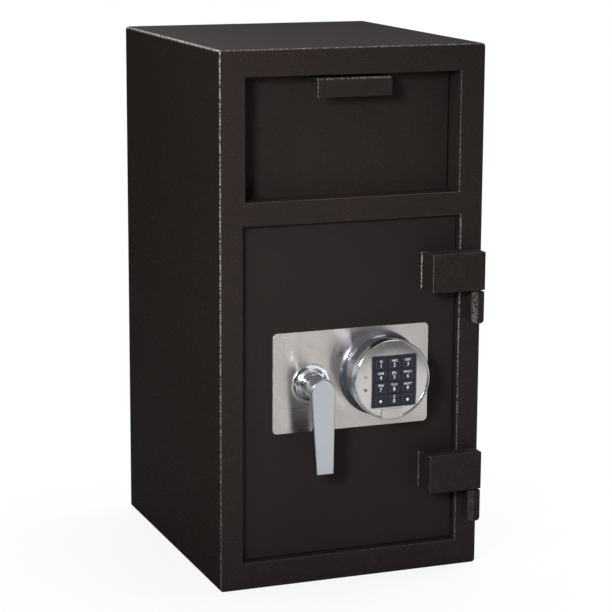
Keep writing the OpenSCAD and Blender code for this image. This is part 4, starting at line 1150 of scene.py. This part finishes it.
def make_cup():
    near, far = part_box("battery")
    gap, wall = CUP_GAP * MM, CUP_WALL * MM
    near = near - Vector((gap + wall, gap + wall, wall))
    far = Vector((far.x + gap + wall, far.y + gap + wall, high("battery_tray").z))
    bm = bmesh.new()
    bmesh.ops.create_cube(bm, size=1.0)
    bmesh.ops.scale(bm, verts=bm.verts, vec=far - near)
    bmesh.ops.translate(bm, verts=bm.verts, vec=(near + far) / 2)
    top = max(bm.faces, key=lambda f: f.calc_center_median().z)
    bmesh.ops.inset_region(bm, faces=[top], thickness=wall, depth=0)
    inside = bmesh.ops.extrude_discrete_faces(bm, faces=[top])["faces"]
    bmesh.ops.translate(bm, verts=inside[0].verts, vec=-Z * (far.z - near.z - wall))
    bmesh.ops.recalc_face_normals(bm, faces=bm.faces)
    bevel(bm, sharp_edges(bm), CUP_EDGE * MM, 2)
    return finish_piece(bm, "battery_tray_cup", "battery_drawer", "satin_plate")


tell(make_cup())

# %% [markdown]
# ## Keys
# Each key is a small soft block with rounded corners, a sloped rim and a thin lighter outline,
# which is a painted highlight along the rim. The outline could be an image, but faces of its
# shape stay sharp from close by. So a cube gets round corners, its face is inset once for the
# rim, which is pushed back, and once more for the outline, whose faces are marked for the painted
# highlight. Each key rides on its own body and can be pressed.

# %% Keys
KEY_NAMES = ["1", "2", "3", "4", "5", "6", "7", "8", "9", "star", "0", "hash"]
KEY_CORNER, KEY_RIM, KEY_SLOPE, KEY_RIM_HIGHLIGHT = 1.6, 0.7, 0.4, 0.4
LEGEND_THICK = 0.1


def make_key(name):
    node = "key_" + name
    near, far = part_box(node)
    near = near + Y * LEGEND_THICK * MM
    bm = bmesh.new()
    bmesh.ops.create_cube(bm, size=1.0)
    bmesh.ops.scale(bm, verts=bm.verts, vec=far - near)
    bmesh.ops.translate(bm, verts=bm.verts, vec=(near + far) / 2)
    deep = [e for e in bm.edges if not in_plane(e, e.verts[0].co.y)]
    bevel(bm, deep, KEY_CORNER * MM, 4)
    mark_fold(bm, bm.faces, 0.0)
    front = max(bm.faces, key=lambda f: -f.calc_center_median().y)
    rim = bmesh.ops.inset_region(bm, faces=[front], thickness=KEY_RIM * MM, depth=0)
    outer = {v for f in rim["faces"] for v in f.verts} - set(front.verts)
    bmesh.ops.translate(bm, verts=list(outer), vec=Y * KEY_SLOPE * MM)
    # The inner band round the key's face is marked for the painted highlight of the rim.
    rim_highlight = bmesh.ops.inset_region(bm, faces=[front], thickness=KEY_RIM_HIGHLIGHT * MM, depth=0)
    mark_fold(bm, rim_highlight["faces"])
    return finish_piece(bm, node + "_cap", node, "navy_keys", [node])


for name in KEY_NAMES:
    tell(make_key(name))

# %% [markdown]
# ## Lettering
# The keys carry print in a plain upright face. It could be painted in the material, but letters
# made as faces stay sharp from close by. Text is made as a font curve, turned into a mesh, and
# only then put in its place, so that its object stays at the origin like every other piece.

# %% Lettering
finish["legend"] = moulded("White legend", colour(226, 228, 232), roughness=0.6, height=0.0,
                           sparkle=0.0)
BOLDER, DOT_TAPER = 0.012, 0.94
STAND_UP = Matrix.Rotation(math.pi / 2, 3, "X")


def lettering(text, height, widen=1.0):
    """A flat bmesh of a text, centred on the origin, its face towards -Y."""
    curve = bpy.data.curves.new("lettering", "FONT")
    curve.body, curve.size, curve.align_x, curve.align_y = text, height, "CENTER", "CENTER"
    curve.extrude = LEGEND_THICK / 2 * MM
    curve.offset = BOLDER * height
    curve.resolution_u = 3
    holder = bpy.data.objects.new("lettering", curve)
    bm = bmesh.new()
    bm.from_mesh(holder.to_mesh())
    holder.to_mesh_clear()
    bpy.data.objects.remove(holder)
    bpy.data.curves.remove(curve)
    bmesh.ops.scale(bm, verts=bm.verts, vec=(widen, 1, 1))
    bmesh.ops.rotate(bm, verts=bm.verts, cent=(0, 0, 0), matrix=STAND_UP)
    return bm


def dot(radius):
    bm = bmesh.new()
    bmesh.ops.create_cone(bm, cap_ends=True, segments=24, radius1=radius,
                          radius2=radius * DOT_TAPER, depth=LEGEND_THICK * MM)
    bmesh.ops.rotate(bm, verts=bm.verts, cent=(0, 0, 0), matrix=STAND_UP)
    return bm


print("helpers: lettering, dot")

# %% [markdown]
# ## Legends
# Plain telephone legends: a digit low on each key and small letters above it, and a dot on the
# two outer keys of the last row. One mesh could hold them all, but each key moves by itself. So
# every legend is a piece of its own and rides on its key.

# %% Legends
LETTERS = {"1": "Q", "2": "ABC", "3": "DEF", "4": "GHI", "5": "JKL", "6": "MNO", "7": "PRS",
           "8": "TUV", "9": "WXY", "0": "Z"}
DIGIT_HEIGHT, LETTER_HEIGHT, LETTER_WIDEN, DOT_R = 6.6, 4.3, 1.1, 1.8
DIGIT_DOWN, LETTERS_UP, DOT_DOWN = 2.4, 3.2, 1.8
LEGEND_LIFT = 0.01


def add_legend(name, bm, label, down):
    key = "key_" + name
    place = Vector((middle(key).x, low(key).y + (LEGEND_THICK / 2 + LEGEND_LIFT) * MM,
                    middle(key).z - down * MM))
    bmesh.ops.translate(bm, verts=bm.verts, vec=place)
    finish_piece(bm, "%s_%s" % (key, label), key, "legend")


for name in KEY_NAMES:
    if name.isdigit():
        add_legend(name, lettering(name, DIGIT_HEIGHT * MM), "digit", DIGIT_DOWN)
        letters = lettering(LETTERS[name], LETTER_HEIGHT * MM, LETTER_WIDEN)
        add_legend(name, letters, "letters", -LETTERS_UP)
    else:
        add_legend(name, dot(DOT_R * MM), "dot", DOT_DOWN)
print("legends on", len(KEY_NAMES), "keys")

# %% [markdown]
# ## Status lights
# Two small lenses stand in the face, the upper clear and the lower olive. Half spheres would stand
# out too far, because the real ones are nearly flat. So a low outline is spun for each lens, and a
# thin dark ring round it is spun from another.

# %% Status lights
finish["lower_lens"] = moulded("Olive lens", colour(128, 126, 78), roughness=0.15, height=0.0)
finish["light_ring"] = moulded("Dark light ring", colour(92, 92, 92), roughness=0.4)
LIGHT_R = (high("status_lights").x - low("status_lights").x) / 2 / MM
LENS_LENGTH, RING_LENGTH, RING_W, RING_LIFT = 6.0, 1.5, 0.5, 0.05


def make_light(height, name, slot, replaced=()):
    """A low lens, and the thin dark ring that holds it in the face."""
    centre = Vector((middle("status_lights").x, 0, height))
    lens_back, ring_back = face_out - LENS_LENGTH, face_out - RING_LENGTH
    lens = [(0.0, lens_back), (LIGHT_R, lens_back), (LIGHT_R, face_out - 0.5),
            (1.2, face_out - 0.2), (0.7, face_out - 0.05), (0.0, face_out)]
    finish_piece(turned(lens, centre, steps=32, closed=False), name, "door", slot, replaced)
    ring = [(LIGHT_R, ring_back), (LIGHT_R, face_out + RING_LIFT), (LIGHT_R + RING_W, face_out),
            (LIGHT_R + RING_W, ring_back)]
    finish_piece(turned(ring, centre, steps=32), name + "_ring", "door", "light_ring")


make_light(high("status_lights").z - LIGHT_R * MM, "status_light_upper", "light_lens",
           ["status_lights"])
make_light(low("status_lights").z + LIGHT_R * MM, "status_light_lower", "lower_lens")
print("lights of %.1f mm across" % (2 * LIGHT_R))

# %% [markdown]
# ## Floor
# The photograph has a plain white ground. Strong lamps could burn a floor white, but they would
# bleach the paint as well. So most of its white is a glow for the camera alone, and near the safe
# the glow is a little weaker and lets the soft shadow show. Metal mirrors the white in two
# patches only, because it looks like metal only when there is something dark to reflect as well.

# %% Floor
FLOOR_R = 30.0  # metres, and so are the patches: left, right, near, far and soft edge
PALE, DIM = (0.85, 0.85, 0.85, 1.0), (0.16, 0.16, 0.16, 1.0)
SHADOW_SHARE, SHADOW_FROM, SHADOW_TO = 0.14, 0.2, 0.55
LEFT_PATCH = (-1.4, -0.4, -0.05, -1.15, 0.2)
FRONT_PATCH = (-0.5, 1.4, -0.3, -3.1, 0.5)
LEFT_SHARE = 0.7


def make_floor():
    bm = bmesh.new()
    bmesh.ops.create_circle(bm, cap_ends=True, segments=96, radius=FLOOR_R)
    mesh = bpy.data.meshes.new("floor")
    bm.to_mesh(mesh)
    bm.free()
    material, graph, shader = new_material("Pale floor")
    path = graph.add("ShaderNodeLightPath").outputs
    place = graph.add("ShaderNodeTexCoord").outputs["Object"]
    along = graph.add("ShaderNodeSeparateXYZ", Vector=place).outputs

    def patch(left, right, near, far, soft):
        """1 on a soft-edged rectangle of the floor, and 0 around it."""
        across = graph.math("MULTIPLY", graph.ramp(along["X"], left, left + soft),
                            graph.ramp(along["X"], right, right - soft))
        deep = graph.math("MULTIPLY", graph.ramp(along["Y"], near, near - soft),
                          graph.ramp(along["Y"], far, far + soft))
        return graph.math("MULTIPLY", across, deep)

    left = graph.math("MULTIPLY", patch(*LEFT_PATCH), LEFT_SHARE)
    lit = graph.math("MAXIMUM", patch(*FRONT_PATCH), left)
    mirrored = graph.math("MULTIPLY", path["Is Glossy Ray"], lit)
    seen = graph.math("MAXIMUM", path["Is Camera Ray"], path["Is Transmission Ray"])
    seen = graph.math("MAXIMUM", seen, mirrored)
    graph.links.new(graph.mix(path["Is Glossy Ray"], PALE, DIM), shader.inputs["Base Color"])
    shader.inputs["Roughness"].default_value = 0.9
    shader.inputs["Specular IOR Level"].default_value = 0.0
    away = graph.add("ShaderNodeVectorMath", {"operation": "LENGTH"}, _0=place).outputs["Value"]
    white = graph.math("MULTIPLY", graph.ramp(away, SHADOW_FROM, SHADOW_TO), SHADOW_SHARE)
    white = graph.math("ADD", white, 1 - SHADOW_SHARE)
    glow = graph.add("ShaderNodeEmission", Color=(1, 1, 1, 1), Strength=1.0)
    both = graph.add("ShaderNodeMixShader", _0=graph.math("MULTIPLY", seen, white),
                     _1=shader.outputs[0], _2=glow.outputs[0])
    output = material.node_tree.nodes["Material Output"]
    graph.links.new(both.outputs[0], output.inputs["Surface"])
    mesh.materials.append(material)
    floor = bpy.data.objects.new("floor", mesh)
    scene.collection.objects.link(floor)


make_floor()
print("floor laid, %.0f m across" % (2 * FLOOR_R))

# %% [markdown]
# ## World
# Beyond the floor there is only white. A picture of a studio could serve as the world, but this
# one is mixed from the kind of ray that meets it: white to the camera, a room that is brighter
# above than beside in reflections, and a faint even fill on matt surfaces.

# %% World
ROOM_FROM, ROOM_TO, ROOM_ABOVE, ROOM_BESIDE = 0.3, 0.9, 0.5, 0.12
FILL = 0.16


def make_world():
    world = bpy.data.worlds.new("Studio")
    world.use_nodes = True
    graph = Graph(world.node_tree)
    path = graph.add("ShaderNodeLightPath").outputs
    seen = graph.math("MAXIMUM", path["Is Camera Ray"], path["Is Transmission Ray"])
    direction = graph.add("ShaderNodeTexCoord").outputs["Generated"]
    height = graph.add("ShaderNodeSeparateXYZ", Vector=direction).outputs["Z"]
    room = graph.math("MULTIPLY", graph.ramp(height, ROOM_FROM, ROOM_TO), ROOM_ABOVE)
    room = graph.math("ADD", room, ROOM_BESIDE)
    mirrored = graph.math("MULTIPLY", path["Is Glossy Ray"], room)
    filled = graph.math("MULTIPLY", path["Is Diffuse Ray"], FILL)
    strength = graph.math("MAXIMUM", seen, graph.math("MAXIMUM", mirrored, filled))
    background = world.node_tree.nodes["Background"]
    background.inputs["Color"].default_value = (1, 1, 1, 1)
    graph.links.new(strength, background.inputs["Strength"])
    scene.world = world


make_world()
scene.view_settings.view_transform = "Standard"
print("world set, fill %.2f" % FILL)

# %% [markdown]
# ## Lamps
# In the photograph the light comes from above and from the left, and it fades towards the lower
# right. One huge lamp would light the front evenly. So a large lamp hangs overhead, and a smaller
# one with a narrow spread fades across the front. A thin strip on the left draws a streak along
# polished edges. Fill lamps lift the sides that face away, and don't shine in glossy surfaces.

# %% Lamps
def add_lamp(name, place, target, power, width, height, shines=True, spread=180.0):
    """A rectangular lamp that looks at a target, in metres, watts and degrees."""
    data = bpy.data.lights.new(name, "AREA")
    data.shape = "RECTANGLE"
    data.size, data.size_y, data.energy = width, height, power
    data.spread = math.radians(spread)
    lamp = bpy.data.objects.new(name, data)
    direction = Vector(target) - Vector(place)
    lamp.matrix_world = (Matrix.Translation(place)
                         @ direction.to_track_quat("-Z", "Y").to_matrix().to_4x4())
    lamp.visible_camera = False
    lamp.visible_glossy = shines
    scene.collection.objects.link(lamp)


add_lamp("overhead", (0.6, 0.2, 2.4), (0, 0, 0.5), 30, 1.6, 1.2)
add_lamp("key", (-1.35, -1.7, 1.1), (-0.15, -0.2, 0.45), 2.5, 0.45, 0.45, spread=42.0)
add_lamp("front right", (1.2, -2.3, 1.1), (0, 0, 0.4), 2.0, 0.45, 0.45, shines=False)
add_lamp("top left", (-0.62, -0.42, 1.15), (-0.18, -0.12, 0.66), 0.3, 0.12, 0.12,
         shines=False, spread=70.0)
add_lamp("left strip", (-1.15, -0.62, 0.95), (-0.1, -0.2, 0.6), 2.6, 0.1, 1.1)
add_lamp("back", (-0.35, 1.2, 1.4), (-0.1, 0, 0.7), 5, 0.8, 0.5)
add_lamp("right fill", (2.4, 0.5, 0.95), (0, 0, 0.35), 26, 0.9, 0.9, shines=False)
add_lamp("rear fill", (0.7, 2.7, 0.9), (0, 0, 0.35), 34, 0.9, 0.9, shines=False)
